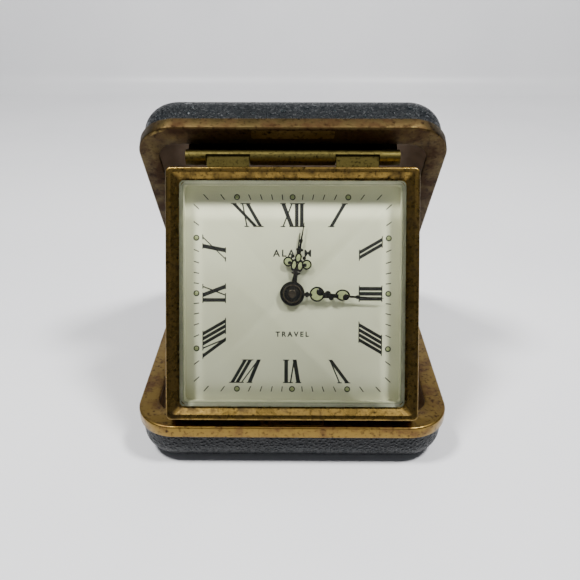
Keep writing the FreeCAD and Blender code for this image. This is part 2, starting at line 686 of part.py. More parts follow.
def barrel(at, teeth, phase, radius):
    """Spring barrel: toothed drum, hollow, turning on its winding arbor."""
    drum = disc(at, radius, *DRUM_Z)
    toothed = gear(at, teeth, BARREL_MODULE, phase, DRUM_TEETH_Z, WHEEL_FORM)
    hollow = disc(at, radius - 0.6, *DRUM_HOLLOW_Z)
    return fuse([drum, toothed]).cut(hollow).cut(hole(at, WINDING_ARBOR + RUNNING))


def mainspring(at, radius):
    return spiral(at, WINDING_ARBOR + 0.2, radius - 0.95, 7, 0.25, MAINSPRING_Z)


def winding_key(at, turn):
    """Winding arbor with its wing key behind the cover."""
    end = ARBOR_END - 0.1
    arbor_parts = [disc(at, WINDING_ARBOR, BACK_PLATE[1] + 0.1, FRONT_PLATE[0] - 0.1),
                   disc(at, WINDING_PIVOT, end, FRONT_PLATE[1] - 0.1),
                   disc(at, WINDING_STEM, end, RATCHET_Z[0] - 0.05),
                   disc(at, 2.3, *KEY_BOSS_Z)]
    x, y = at
    wing = slab(x - 6.5, x + 6.5, -KEY_END - 3.3, -KEY_END, 1.5, -0.8, 0.8)
    wing.rotate(V(x, 0, 0), X_AXIS, -90)
    wing.translate(V(0, y, 0))
    wing.rotate(V(x, y, 0), Z_AXIS, turn)
    return fuse(arbor_parts + [wing])


def ratchet_wheel(at):
    """Saw-toothed wheel on the winding arbor."""
    step = 360.0 / RATCHET_TEETH
    points = []
    for k in range(RATCHET_TEETH):
        points.append(polar(at, 3.4, step * k))
        points.append(polar(at, 4.0, step * (k + 0.85)))
    return prism(points, *RATCHET_Z).cut(hole(at, WINDING_PIVOT))


def click(at, way):
    """Pawl beside a ratchet wheel, on its own stud."""
    stud = polar(at, CLICK_REACH, way)
    tip = polar(at, 4.15, way - 24.0)
    heel = polar(at, 4.6, way - 26.0)
    arm = prism([polar(stud, 0.7, way + 170.0), tip, heel, polar(stud, 0.7, way - 10.0)], *RATCHET_Z)
    return fuse([disc(stud, 0.8, *RATCHET_Z), arm]).cut(hole(stud, CLICK_STUD + RUNNING))


def strike_wheel():
    step = 360.0 / STRIKE_TEETH
    points = []
    for k in range(STRIKE_TEETH):
        points += [polar(STRIKE_AT, 3.1, step * k), polar(STRIKE_AT, 4.0, step * (k + 0.7))]
    wheel = prism(points, *STRIKE_WHEEL_Z)
    pinion = gear(STRIKE_AT, STRIKE_LEAVES, STRIKE_MODULE, STRIKE_PHASE_PINION, TRAIN_PINION_Z,
                  PINION_FORM)
    return fuse([wheel, pinion] + arbor(STRIKE_AT, ARBOR))


def hammer():
    """Alarm hammer: arm, head near the case wall and a tail at the strike wheel."""
    x, y = HAMMER_AT
    arm = box(x, x + HAMMER_ARM, y - 0.8, y + 0.2, *HAMMER_Z)
    head = disc((x + HAMMER_ARM, y - 0.6), 1.5, *HAMMER_HEAD_Z)
    tail = prism([(x - 0.5, y), (x - 0.9, y + 2.4), (x - 0.5, y + 2.4), (x + 0.5, y)], *HAMMER_Z)
    boss = disc(HAMMER_AT, 0.9, HAMMER_HEAD_Z[0] - 0.1, HAMMER_HEAD_Z[1])
    return fuse([arm, head, tail, boss] + arbor(HAMMER_AT, ARBOR))


# --- hands and the motion work ------------------------------------------------------------------
def tapered(length0, length1, width0, width1, z0, z1):
    """Flat straight taper along the hand, from one distance to another."""
    return prism([(-width0 / 2, length0), (width0 / 2, length0), (width1 / 2, length1),
                  (-width1 / 2, length1)], z0, z1)


def turned_hand(shape, degrees):
    """Turns a hand from twelve o'clock by a clockwise angle."""
    turned = shape.copy()
    turned.rotate(V(0, 0, 0), Z_AXIS, -degrees)
    return turned


def minute_hand():
    z0, z1 = MINUTE_HAND_Z
    eyes = [ring((0, 6.3), 1.75, 1.15, z0, z1), ring((0, 13.0), 1.5, 0.95, z0, z1)]
    blades = [tapered(2.0, 4.8, 0.7, 0.6, z0, z1), tapered(7.8, 11.8, 1.1, 0.8, z0, z1),
              tapered(14.2, 23.4, 1.0, 0.15, z0, z1)]
    hand = fuse([disc(CENTRE, 2.3, z0, z1)] + blades + eyes)
    return turned_hand(hand.cut(hole(CENTRE, CENTRE_ARBOR)), MINUTE_HAND_AT)


def hour_hand():
    z0, z1 = HOUR_HAND_Z
    eyes = [ring((side * 1.8, 8.0), 1.35, 0.75, z0, z1) for side in (-1, 1)]
    eyes.append(ring((0, 10.2), 1.5, 0.9, z0, z1))
    blades = [tapered(2.5, 9.0, 1.4, 1.2, z0, z1), tapered(11.4, 18.4, 1.2, 0.2, z0, z1)]
    hand = fuse([disc(CENTRE, 3.1, z0, z1)] + blades + eyes)
    return turned_hand(hand.cut(hole(CENTRE, HOUR_PIPE)), HOUR_HAND_AT)


def alarm_hand():
    z0, z1 = ALARM_HAND_Z
    hand = fuse([disc(CENTRE, 2.7, z0, z1), tapered(2.0, 15.6, 0.8, 0.35, z0, z1)])
    return turned_hand(hand.cut(hole(CENTRE, ALARM_PIPE)), ALARM_HAND_AT)


def centre_arbor():
    """Arbor through the whole movement, with the cannon pinion fixed on it."""
    pinion = gear(CENTRE, CANNON_LEAVES, MINUTE_MODULE, CANNON_PHASE, CANNON_Z, PINION_FORM)
    pipe = disc(CENTRE, CANNON_PIPE, CANNON_Z[0], MINUTE_HAND_Z[0])
    return fuse([disc(CENTRE, CENTRE_ARBOR, ARBOR_END, MINUTE_HAND_Z[1] + 0.2), pipe, pinion])


def minute_wheel():
    wheel = gear(MINUTE_AT, MINUTE_TEETH, MINUTE_MODULE, MINUTE_PHASE, MINUTE_WHEEL_Z, WHEEL_FORM)
    pinion = gear(MINUTE_AT, MINUTE_LEAVES, HOUR_MODULE, MINUTE_PHASE_PINION, MINUTE_PINION_Z,
                  PINION_FORM)
    return fuse([wheel, pinion]).cut(hole(MINUTE_AT, STUD + RUNNING))


def hour_wheel():
    wheel = gear(CENTRE, HOUR_TEETH, HOUR_MODULE, HOUR_PHASE, HOUR_WHEEL_Z, WHEEL_FORM)
    pipe = disc(CENTRE, HOUR_PIPE, HOUR_WHEEL_Z[0], HOUR_HAND_Z[1])
    return fuse([wheel, pipe]).cut(hole(CENTRE, CANNON_PIPE + PIPE_CLEAR))


def alarm_wheel():
    wheel = gear(CENTRE, ALARM_TEETH, ALARM_MODULE, ALARM_PHASE, ALARM_WHEEL_Z, WHEEL_FORM)
    wheel = wheel.cut(spokes(CENTRE, 7.4, 2.9, 5))
    pipe = disc(CENTRE, ALARM_PIPE, ALARM_WHEEL_Z[0], ALARM_HAND_Z[1])
    return fuse([wheel, pipe]).cut(hole(CENTRE, HOUR_PIPE + PIPE_CLEAR))


def alarm_set_arbor():
    pinion = gear(ALARM_SET_AT, ALARM_LEAVES, ALARM_MODULE, ALARM_SET_PHASE, ALARM_PINION_Z, PINION_FORM)
    return fuse([pinion, disc(ALARM_SET_AT, ALARM_SET_ARBOR, ARBOR_END, ALARM_PINION_Z[1])])


def knurled_knob(at, radius, bore):
    """Setting knob with a fluted edge and a dished rear face."""
    step = 360.0 / KNOB_FLUTES
    points = []
    for k in range(KNOB_FLUTES):
        points.append(polar(at, radius, step * k))
        points.append(polar(at, radius - 0.35, step * (k + 0.5)))
    grip = prism(points, *KNOB_GRIP_Z)
    neck = disc(at, radius * 0.55, *KNOB_NECK_Z)
    dish = disc(at, radius - 1.2, KEY_END - 1, KEY_END + 0.5)
    return fuse([grip, neck]).cut(dish).cut(disc(at, bore, ARBOR_END, KNOB_NECK_Z[1] + 1))


def regulator():
    """Index lever round the balance's boss with a pin through the cover's slot."""
    x, y = BALANCE_AT
    arm = box(x - 0.5, x + 0.5, y + 1.4, y + REGULATOR_ARM, *REGULATOR_Z)
    pin = disc((x, y + REGULATOR_ARM), 0.5, COVER[0] - 0.6, REGULATOR_Z[1])
    return fuse([ring(BALANCE_AT, 1.8, 0.9, *REGULATOR_Z), arm, pin])


def stop_slide():
    """Alarm stop: a slide under the cover with its button outside."""
    x, y = STOP_AT
    plate = box(x - 3.0, x + 3.0, y - 1.2, y + 1.2, *STOP_PLATE_Z)
    neck = box(x - 0.9, x + 0.9, y - 0.6, y + 0.6, *STOP_NECK_Z)
    button = slab(x - 2.0, x + 2.0, y - 1.3, y + 1.3, 0.5, *STOP_BUTTON_Z)
    return fuse([plate, neck, button])


# Phases that set each pair of gears tooth in gap.
BARREL_PHASE = 0.0
CENTRE_PHASE_PINION = mesh_phase(BARREL_PHASE, BARREL_TEETH, CENTRE_LEAVES, BARREL_WAY - 180)
CENTRE_PHASE = 0.0
THIRD_PHASE_PINION = mesh_phase(CENTRE_PHASE, CENTRE_TEETH, THIRD_LEAVES, THIRD_WAY)
THIRD_PHASE = 0.0
FOURTH_PHASE_PINION = mesh_phase(THIRD_PHASE, THIRD_TEETH, FOURTH_LEAVES, FOURTH_WAY)
FOURTH_PHASE = 0.0
ESCAPE_PHASE_PINION = mesh_phase(FOURTH_PHASE, FOURTH_TEETH, ESCAPE_LEAVES, ESCAPE_WAY)
MINUTE_PHASE = 0.0
CANNON_PHASE = mesh_phase(MINUTE_PHASE, MINUTE_TEETH, CANNON_LEAVES, MINUTE_WAY - 180)
HOUR_PHASE = 0.0
MINUTE_PHASE_PINION = mesh_phase(HOUR_PHASE, HOUR_TEETH, MINUTE_LEAVES, MINUTE_WAY)
ALARM_PHASE = 0.0
ALARM_SET_PHASE = mesh_phase(ALARM_PHASE, ALARM_TEETH, ALARM_LEAVES, ALARM_WAY)
STRIKE_PHASE_PINION = mesh_phase(BARREL_PHASE, STRIKE_BARREL_TEETH, STRIKE_LEAVES, STRIKE_WAY)


def case_nodes():
    """Pieces of the base and of the lid."""
    base_spans = rear_spans()[0::2]
    lid_spans = rear_spans()[1::2]
    return {
        "base_leather": half_leather(),
        "base_shell": half_shell(),
        "base_lining": half_lining(),
        "base_rim": half_rim(BASE_CATCH),
        "base_catch_plate": catch_plate(BASE_CATCH),
        "rear_hinge_base_leaf": rear_leaf(base_spans, REAR_PIN),
        "rear_hinge_pin": rear_pin(),
        "lid_leather": on_lid(half_leather()),
        "lid_shell": on_lid(half_shell()),
        "lid_lining": on_lid(half_lining()),
        "lid_rim": on_lid(half_rim(LID_CATCH)),
        "lid_catch_plate": on_lid(catch_plate(LID_CATCH)),
        "rear_hinge_lid_leaf": on_lid(rear_leaf(lid_spans, REAR_PIN + RUNNING)),
        "clock_hinge_leaf": opened(clock_hinge_leaf()),
        "clock_hinge_pin": opened(clock_hinge_pin()),
    }


def clock_nodes():
    """Pieces of the clock head, in the head's own frame."""
    return {
        "bezel": bezel(),
        "crystal": crystal(),
        "dial_spacer": dial_spacer(),
        "dial": dial(),
        "case_can": case_can(),
        "clock_hinge_tabs": clock_hinge_tabs(),
        "back_cover": back_cover(),
        "front_plate": front_plate(),
        "back_plate": back_plate(),
        "plate_pillars": plate_pillars(),
        "cover_screws": cover_screws(),
        "jewels": jewels(),
        "centre_arbor": centre_arbor(),
        "minute_hand": minute_hand(),
        "time_set_knob": knurled_knob(CENTRE, TIME_KNOB, CENTRE_ARBOR),
        "hour_wheel": hour_wheel(),
        "hour_hand": hour_hand(),
        "minute_wheel": minute_wheel(),
        "alarm_wheel": alarm_wheel(),
        "alarm_hand": alarm_hand(),
        "alarm_set_arbor": alarm_set_arbor(),
        "alarm_set_knob": knurled_knob(ALARM_SET_AT, ALARM_KNOB, ALARM_SET_ARBOR),
        "going_barrel": barrel(BARREL_AT, BARREL_TEETH, BARREL_PHASE, BARREL_RADIUS),
        "going_mainspring": mainspring(BARREL_AT, BARREL_RADIUS),
        "going_winding_key": winding_key(BARREL_AT, GOING_KEY_AT),
        "going_ratchet_wheel": ratchet_wheel(BARREL_AT),
        "going_click": click(BARREL_AT, GOING_CLICK_WAY),
        "alarm_barrel": barrel(ALARM_BARREL_AT, STRIKE_BARREL_TEETH, BARREL_PHASE, ALARM_BARREL_RADIUS),
        "alarm_mainspring": mainspring(ALARM_BARREL_AT, ALARM_BARREL_RADIUS),
        "alarm_winding_key": winding_key(ALARM_BARREL_AT, ALARM_KEY_AT),
        "alarm_ratchet_wheel": ratchet_wheel(ALARM_BARREL_AT),
        "alarm_click": click(ALARM_BARREL_AT, ALARM_CLICK_WAY),
        "centre_wheel": centre_wheel(),
        "third_wheel": third_wheel(),
        "fourth_wheel": fourth_wheel(),
        "escape_wheel": escape_wheel(),
        "pallet_lever": pallet_lever(),
        "balance_wheel": balance_wheel(),
        "hairspring": hairspring(),
        "strike_wheel": strike_wheel(),
        "alarm_hammer": hammer(),
        "regulator_lever": regulator(),
        "alarm_stop_slide": stop_slide(),
    }


def all_nodes():
    nodes = case_nodes()
    for name, shape in clock_nodes().items():
        nodes[name] = on_clock(shape)
    return nodes


def main():
    os.makedirs("parts", exist_ok=True)
    for name, shape in all_nodes().items():
        shape.exportStep("parts/" + name + ".step")


main()
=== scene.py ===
import bmesh
import bpy
import json
import math
from mathutils import Matrix, Vector


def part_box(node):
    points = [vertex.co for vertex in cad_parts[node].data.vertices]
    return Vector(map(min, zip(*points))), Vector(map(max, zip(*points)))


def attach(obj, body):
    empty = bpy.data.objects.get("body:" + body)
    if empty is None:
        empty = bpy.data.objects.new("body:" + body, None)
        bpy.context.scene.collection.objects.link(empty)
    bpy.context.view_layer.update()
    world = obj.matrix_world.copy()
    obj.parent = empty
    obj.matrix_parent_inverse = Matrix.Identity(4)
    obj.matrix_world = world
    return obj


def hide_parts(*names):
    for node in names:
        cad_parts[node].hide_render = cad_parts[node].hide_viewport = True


bl_info = {
    "name": "Folding Travel Clock",
    "version": (1, 0, 0),
    "blender": (4, 5, 0),
    "location": "View3D > Sidebar > Travel Clock",
    "description": "Finishes a folding travel alarm clock with leather covers, brass, dial and hands",
    "category": "Object",
}

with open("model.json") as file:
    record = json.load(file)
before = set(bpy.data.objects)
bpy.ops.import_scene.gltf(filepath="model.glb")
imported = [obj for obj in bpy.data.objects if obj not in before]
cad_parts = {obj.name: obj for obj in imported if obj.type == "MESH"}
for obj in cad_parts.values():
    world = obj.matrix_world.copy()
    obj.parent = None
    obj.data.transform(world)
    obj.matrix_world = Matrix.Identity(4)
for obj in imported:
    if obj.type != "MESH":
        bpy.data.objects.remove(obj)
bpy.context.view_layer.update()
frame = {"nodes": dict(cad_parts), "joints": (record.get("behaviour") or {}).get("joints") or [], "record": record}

MM = 0.001
JOINT = {joint["name"]: joint for joint in frame["joints"]}
HINGE = Vector(JOINT["lid_hinge"]["pos_m"])
PIVOT = Vector(JOINT["clock_fold"]["pos_m"])
FACE_OUT = Vector(JOINT["hand_setting"]["axis"])
FACE_UP = FACE_OUT.cross(Vector((1, 0, 0)))
ARBOR_DEPTH = 10 * MM
PIVOT_BELOW_RIM = 2.56 * MM

RIM_LOW, RIM_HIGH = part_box("base_rim")
MATING = RIM_HIGH.z
HALF_X = RIM_HIGH.x
HALF_Y = RIM_HIGH.y


def face_matrix():
    """Frame of the clock head: X right, Y up the dial, Z out of the dial, from the bezel's front."""
    centre = Vector(JOINT["hand_setting"]["pos_m"]) + FACE_OUT * ARBOR_DEPTH
    turn = Matrix((Vector((1, 0, 0)), FACE_UP, FACE_OUT)).transposed()
    return Matrix.Translation(centre) @ turn.to_4x4()


def lid_matrix():
    """Turns a piece of the base half over into the lid, opened about the rear hinge."""
    arm = PIVOT - HINGE
    opening = math.atan2(arm.z, -arm.y) + math.asin(PIVOT_BELOW_RIM / arm.length)
    over = Matrix.Translation((0, 0, MATING)) @ Matrix.Rotation(math.pi, 4, "Y")
    over = over @ Matrix.Translation((0, 0, -MATING))
    swing = Matrix.Rotation(-opening, 4, "X")
    return Matrix.Translation(HINGE) @ swing @ Matrix.Translation(-HINGE) @ over


FACE = face_matrix()
LID = lid_matrix()
BASE = Matrix.Identity(4)
HALVES = (("base", BASE), ("lid", LID))

ROMAN = ("XII", "I", "II", "III", "IIII", "V", "VI", "VII", "VIII", "IX", "X", "XI")

# --- fixed details; levels in the head count back from the bezel's front --------------------------
SAME_PLACE = 1e-6
OVERCUT = 0.1 * MM
RIM_EDGE = 0.55 * MM
RIM_CUT_EDGE = 0.16 * MM
BEZEL_CORNER = 1.4 * MM
BEZEL_EDGE = 0.5 * MM
BEZEL_CUT_EDGE = 0.12 * MM
SLOPE_CORNER = 1.0 * MM
WINDOW_CORNER = 1.2 * MM
WINDOW_BACK = -4.5 * MM
CAVITY_SIDE = 57.4 * MM
CAVITY_BACK = -6.0 * MM
CAVITY_FRONT = -2.8 * MM
CAVITY_CORNER = 1.6 * MM
CRYSTAL_GAP = 0.2 * MM
CRYSTAL_BACK = -3.1 * MM
CRYSTAL_CORNER = 1.1 * MM
CRYSTAL_EDGE = 1.0 * MM
DIAL_SHEET = 0.4 * MM
DIAL_CORNER = 2.6 * MM
DIAL_EDGE = 0.05 * MM
DIAL_HOLE = 2.0 * MM
INK_HEIGHT = 0.012 * MM
HAND_SHEET = 0.2 * MM
PAINT_DROP = 0.03 * MM


# --- what a user would change -------------------------------------------------------------------
def length(name, description, millimetres):
    return bpy.props.FloatProperty(name=name, description=description, default=millimetres * MM,
                                   unit="LENGTH", precision=4)


def colour(name, description, rgb):
    return bpy.props.FloatVectorProperty(name=name, description=description, default=rgb, size=3,
                                         subtype="COLOR", min=0, max=1)


def angle(name, description, degrees):
    return bpy.props.FloatProperty(name=name, description=description, default=math.radians(degrees),
                                   subtype="ANGLE")


class ClockSizes(bpy.types.PropertyGroup):
    """Sizes of the visible pieces."""
    rim_corner: length("Rim corner", "Radius of the rims' outer corners", 10.5)
    flange: length("Flange", "Width of the flange at the sides", 5.0)
    flange_front: length("Front flange", "Width of the flange at the front", 6.0)
    flange_rear: length("Rear flange", "Width of the flange at the hinge", 2.0)
    flange_thickness: length("Flange thickness", "Thickness of the flange sheet", 1.0)
    opening_corner: length("Opening corner", "Radius of the opening's corners", 6.0)
    leather_inset: length("Leather inset", "How far the leather stands in from the rim", 0.8)
    leather: length("Leather", "Thickness of the leather", 0.8)
    leather_edge: length("Leather edge", "Radius of the leather's outer edge", 6.5)
    lining: length("Lining", "Thickness of the flocked lining", 0.4)
    wall: length("Wall", "Leather and metal together, under the lining", 1.3)
    bezel: length("Bezel", "Side of the square bezel", 62.0)
    bezel_depth: length("Bezel depth", "Depth of the bezel", 5.2)
    bezel_ridge: length("Bezel ridge", "Side of the square inside the bezel's ridge", 59.6)
    window: length("Window", "Side of the bezel's window", 55.7)
    window_depth: length("Window depth", "How deep the bezel slopes down to the window", 1.3)
    crystal_front: length("Crystal front", "Front of the crystal behind the bezel's ridge", 0.2)
    crystal_wall: length("Crystal wall", "Thickness of the crystal", 0.8)
    dial: length("Dial", "Depth of the dial's face behind the bezel's front", 6.0)
    dial_side: length("Dial side", "Side of the square dial", 56.2)
    numeral_foot: length("Numeral feet", "Distance of the numerals' feet from the centre", 16.8)
    numeral_top: length("Numeral tops", "Distance of the numerals' tops from the centre", 22.8)
    track: length("Track", "Half the side of the square minute track", 24.3)
    track_width: length("Track width", "Width of the minute track", 1.34)
    dot: length("Dot", "Radius of the luminous hour dots", 0.62)
    minute_level: length("Minute hand level", "Depth of the minute hand", 4.2)
    hour_level: length("Hour hand level", "Depth of the hour hand", 4.8)
    alarm_level: length("Alarm hand level", "Depth of the alarm hand", 5.4)
    minute_turn: angle("Minute hand", "Where the minute hand points", 92.7)
    hour_turn: angle("Hour hand", "Where the hour hand points", 9.4)
    alarm_turn: angle("Alarm hand", "Where the alarm hand points", 7.1)


class ClockColours(bpy.types.PropertyGroup):
    """Colours of the finishes."""
    leather: colour("Leather", "Tops of the leather's pebbles", (0.0015, 0.003, 0.004))
    brass: colour("Brass", "Rubbed brass", (0.185, 0.118, 0.030))
    tarnish: colour("Tarnish", "Brown tarnish on the brass", (0.040, 0.026, 0.010))
    # The lid's rim brass and copper are darker copies of the base rim's: partly heavier tarnish, partly painted
    # shade of the lid.
    shaded_lid_brass: colour("Lid brass", "Darker brass of the lid's rim, tarnish and painted shade", (0.068, 0.048, 0.018))
    # The hinges' brass is far darker than the rims': partly tarnish, partly painted shade under the lid's flange.
    shaded_hinge_brass: colour("Hinge brass", "Darker brass of the hinges, tarnish and painted shade", (0.036, 0.029, 0.009))
    olive: colour("Olive tarnish", "Dark green-brown tarnish of the hinges", (0.010, 0.009, 0.004))
    shaded_lid_copper: colour("Lid copper", "Darker brown patches of the lid's rim, tarnish and painted shade", (0.034, 0.017, 0.008))
    copper: colour("Copper tarnish", "Redder tarnish on the bands", (0.085, 0.040, 0.020))
    plate: colour("Movement brass", "Clean brass of the movement", (0.80, 0.62, 0.30))
    dial: colour("Dial", "Cream lacquer of the dial", (0.84, 0.84, 0.65))
    lume: colour("Luminous paint", "Old luminous paint", (0.42, 0.47, 0.24))
    lining: colour("Lining", "Brown flocking", (0.27, 0.205, 0.155))
    steel: colour("Steel", "Ground steel", (0.50, 0.51, 0.53))
    floor: colour("Floor", "Pale floor", (0.80, 0.80, 0.81))


# --- modelling steps ----------------------------------------------------------------------------
def deselect():
    bpy.ops.object.select_all(action="DESELECT")


def only(*pieces):
    """Selects only these pieces and makes the first active."""
    deselect()
    for piece in pieces:
        piece.select_set(True)
    bpy.context.view_layer.objects.active = pieces[0]


def take(name):
    """Names the primitive that was just added and applies its place and scale."""
    piece = bpy.context.object
    piece.name = name
    piece.data.name = name
    bpy.ops.object.transform_apply(location=True, rotation=True, scale=True)
    return piece


def pick(piece, kind, test):
    """Goes into edit mode and selects only the edges or faces that pass the test."""
    only(piece)
    bpy.ops.object.mode_set(mode="EDIT")
    bpy.ops.mesh.select_mode(type=kind)
    bpy.ops.mesh.select_all(action="DESELECT")
    mesh = bmesh.from_edit_mesh(piece.data)
    parts = mesh.edges if kind == "EDGE" else mesh.faces
    for part in parts:
        part.select_set(test(part))
    mesh.select_flush_mode()
    bmesh.update_edit_mesh(piece.data)


def leave():
    bpy.ops.object.mode_set(mode="OBJECT")


def bevel(piece, test, width, segments):
    pick(piece, "EDGE", test)
    bpy.ops.mesh.bevel(offset=width, segments=segments, affect="EDGES", clamp_overlap=False)
    leave()


def modify(piece, kind, **settings):
    """Adds a modifier with these settings and applies it."""
    only(piece)
    modifier = piece.modifiers.new(kind.title(), kind)
    for setting, value in settings.items():
        setattr(modifier, setting, value)
    bpy.ops.object.modifier_apply(modifier=modifier.name)


def soften(piece, width, segments, **limit):
    """Rounds the edges that are sharper than the limit."""
    modify(piece, "BEVEL", width=width, segments=segments, limit_method="ANGLE", **limit)


def cut(piece, *tools):
    """Cuts the tools' shapes out of the piece."""
    for tool in tools:
        modify(piece, "BOOLEAN", object=tool, operation="DIFFERENCE", solver="EXACT")
        bpy.data.objects.remove(tool)


def join(name, pieces):
    only(*pieces)
    bpy.ops.object.join()
    joined = bpy.context.object
    joined.name = name
    joined.data.name = name
    return joined


def is_upright(edge):
    """A test for edges that stand along Z."""
    low, high = sorted(vert.co.z for vert in edge.verts)
    return high - low > 0.9 * edge.calc_length() and edge.calc_length() > SAME_PLACE


def lies_at(z):
    """A test for the faces or edges that lie flat at this level."""
    return lambda part: all(abs(vert.co.z - z) < SAME_PLACE for vert in part.verts)


def block(name, low, high, corner, segments=12):
    """Block between two corners, with its upright edges rounded."""
    size = [b - a for a, b in zip(low, high)]
    middle = [(a + b) / 2 for a, b in zip(low, high)]
    deselect()
    bpy.ops.mesh.primitive_cube_add(size=1, location=middle, scale=size)
    piece = take(name)
    if corner:
        bevel(piece, is_upright, corner, segments)
    return piece


def square_block(name, side, z0, z1, corner, segments=6):
    half = side / 2
    return block(name, (-half, -half, z0), (half, half, z1), corner, segments)


def cylinder(name, radius, z0, z1, at=(0, 0), sides=48):
    deselect()
    bpy.ops.mesh.primitive_cylinder_add(vertices=sides, radius=radius, depth=z1 - z0,
                                        location=(at[0], at[1], (z0 + z1) / 2))
    return take(name)


def bar(name, y0, y1, width0, width1, z, thickness):
    """Flat bar up the dial whose width changes from one end to the other, with softened edges."""
    piece = block(name, (-width0 / 2, y0, z - thickness / 2), (width0 / 2, y1, z + thickness / 2), 0)
    pick(piece, "FACE", lambda face: face.normal.y > 0.5)
    bpy.ops.transform.resize(value=(width1 / width0, 1, 1))
    leave()
    modify(piece, "BEVEL", width=0.22 * thickness, segments=2)
    return piece


def loop_wire(name, at, radius, wire, z, stretch=1.0):
    """Flat wire bent into a closed ring or, stretched, into an oval eye."""
    deselect()
    bpy.ops.mesh.primitive_torus_add(major_radius=radius, minor_radius=wire, major_segments=36,
                                     minor_segments=8, location=(at[0], at[1], z))
    bpy.context.object.scale = (1, stretch, 0.6)
    return take(name)


def bead(name, at, radius, z, height, stretch=1.0):
    """Low rounded bead, used for luminous fills and small ornaments."""
    deselect()
    bpy.ops.mesh.primitive_uv_sphere_add(segments=24, ring_count=10, radius=radius,
                                         location=(at[0], at[1], z))
    bpy.context.object.scale = (1, stretch, height / radius)
    return take(name)


def smooth(piece, degrees=35):
    only(piece)
    bpy.ops.object.shade_smooth_by_angle(angle=math.radians(degrees))


def place(piece, matrix):
    """Moves the piece to its place and applies it, so that its object stays at the origin."""
    piece.matrix_world = matrix
    only(piece)
    bpy.ops.object.transform_apply(location=True, rotation=True, scale=True)


def settle(piece, matrix, body, material, nodes=(), degrees=35):
    """Finishes a piece: place, smoothing, material, body and the nodes it stands for."""
    place(piece, matrix)
    smooth(piece, degrees)
    piece.data.materials.clear()
    piece.data.materials.append(material)
    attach(piece, body)
    if nodes:
        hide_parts(*nodes)


def finish(name):
    """A finish that an earlier operator has made."""
    return bpy.data.materials[name]


# --- materials ----------------------------------------------------------------------------------
def spread(columns):
    """Sets each column of nodes out in the editor, left to right."""
    for x, column in enumerate(columns):
        for y, node in enumerate(column):
            node.location = (x * 220, -y * 260)


def group_in(nodes, label, members):
    """Puts nodes in a labelled frame."""
    holder = nodes.new("NodeFrame")
    holder.label = label
    for node in members:
        node.parent = holder


def tinted(tone, red, green, blue):
    """The tone with each of its three parts made stronger or weaker."""
    return (tone[0] * red, tone[1] * green, tone[2] * blue, 1)


def new_material(name):
    """An empty material, with its nodes and its links to be filled in."""
    material = bpy.data.materials.new(name)
    material.use_nodes = True
    material.node_tree.nodes.clear()
    return material, material.node_tree.nodes, material.node_tree.links


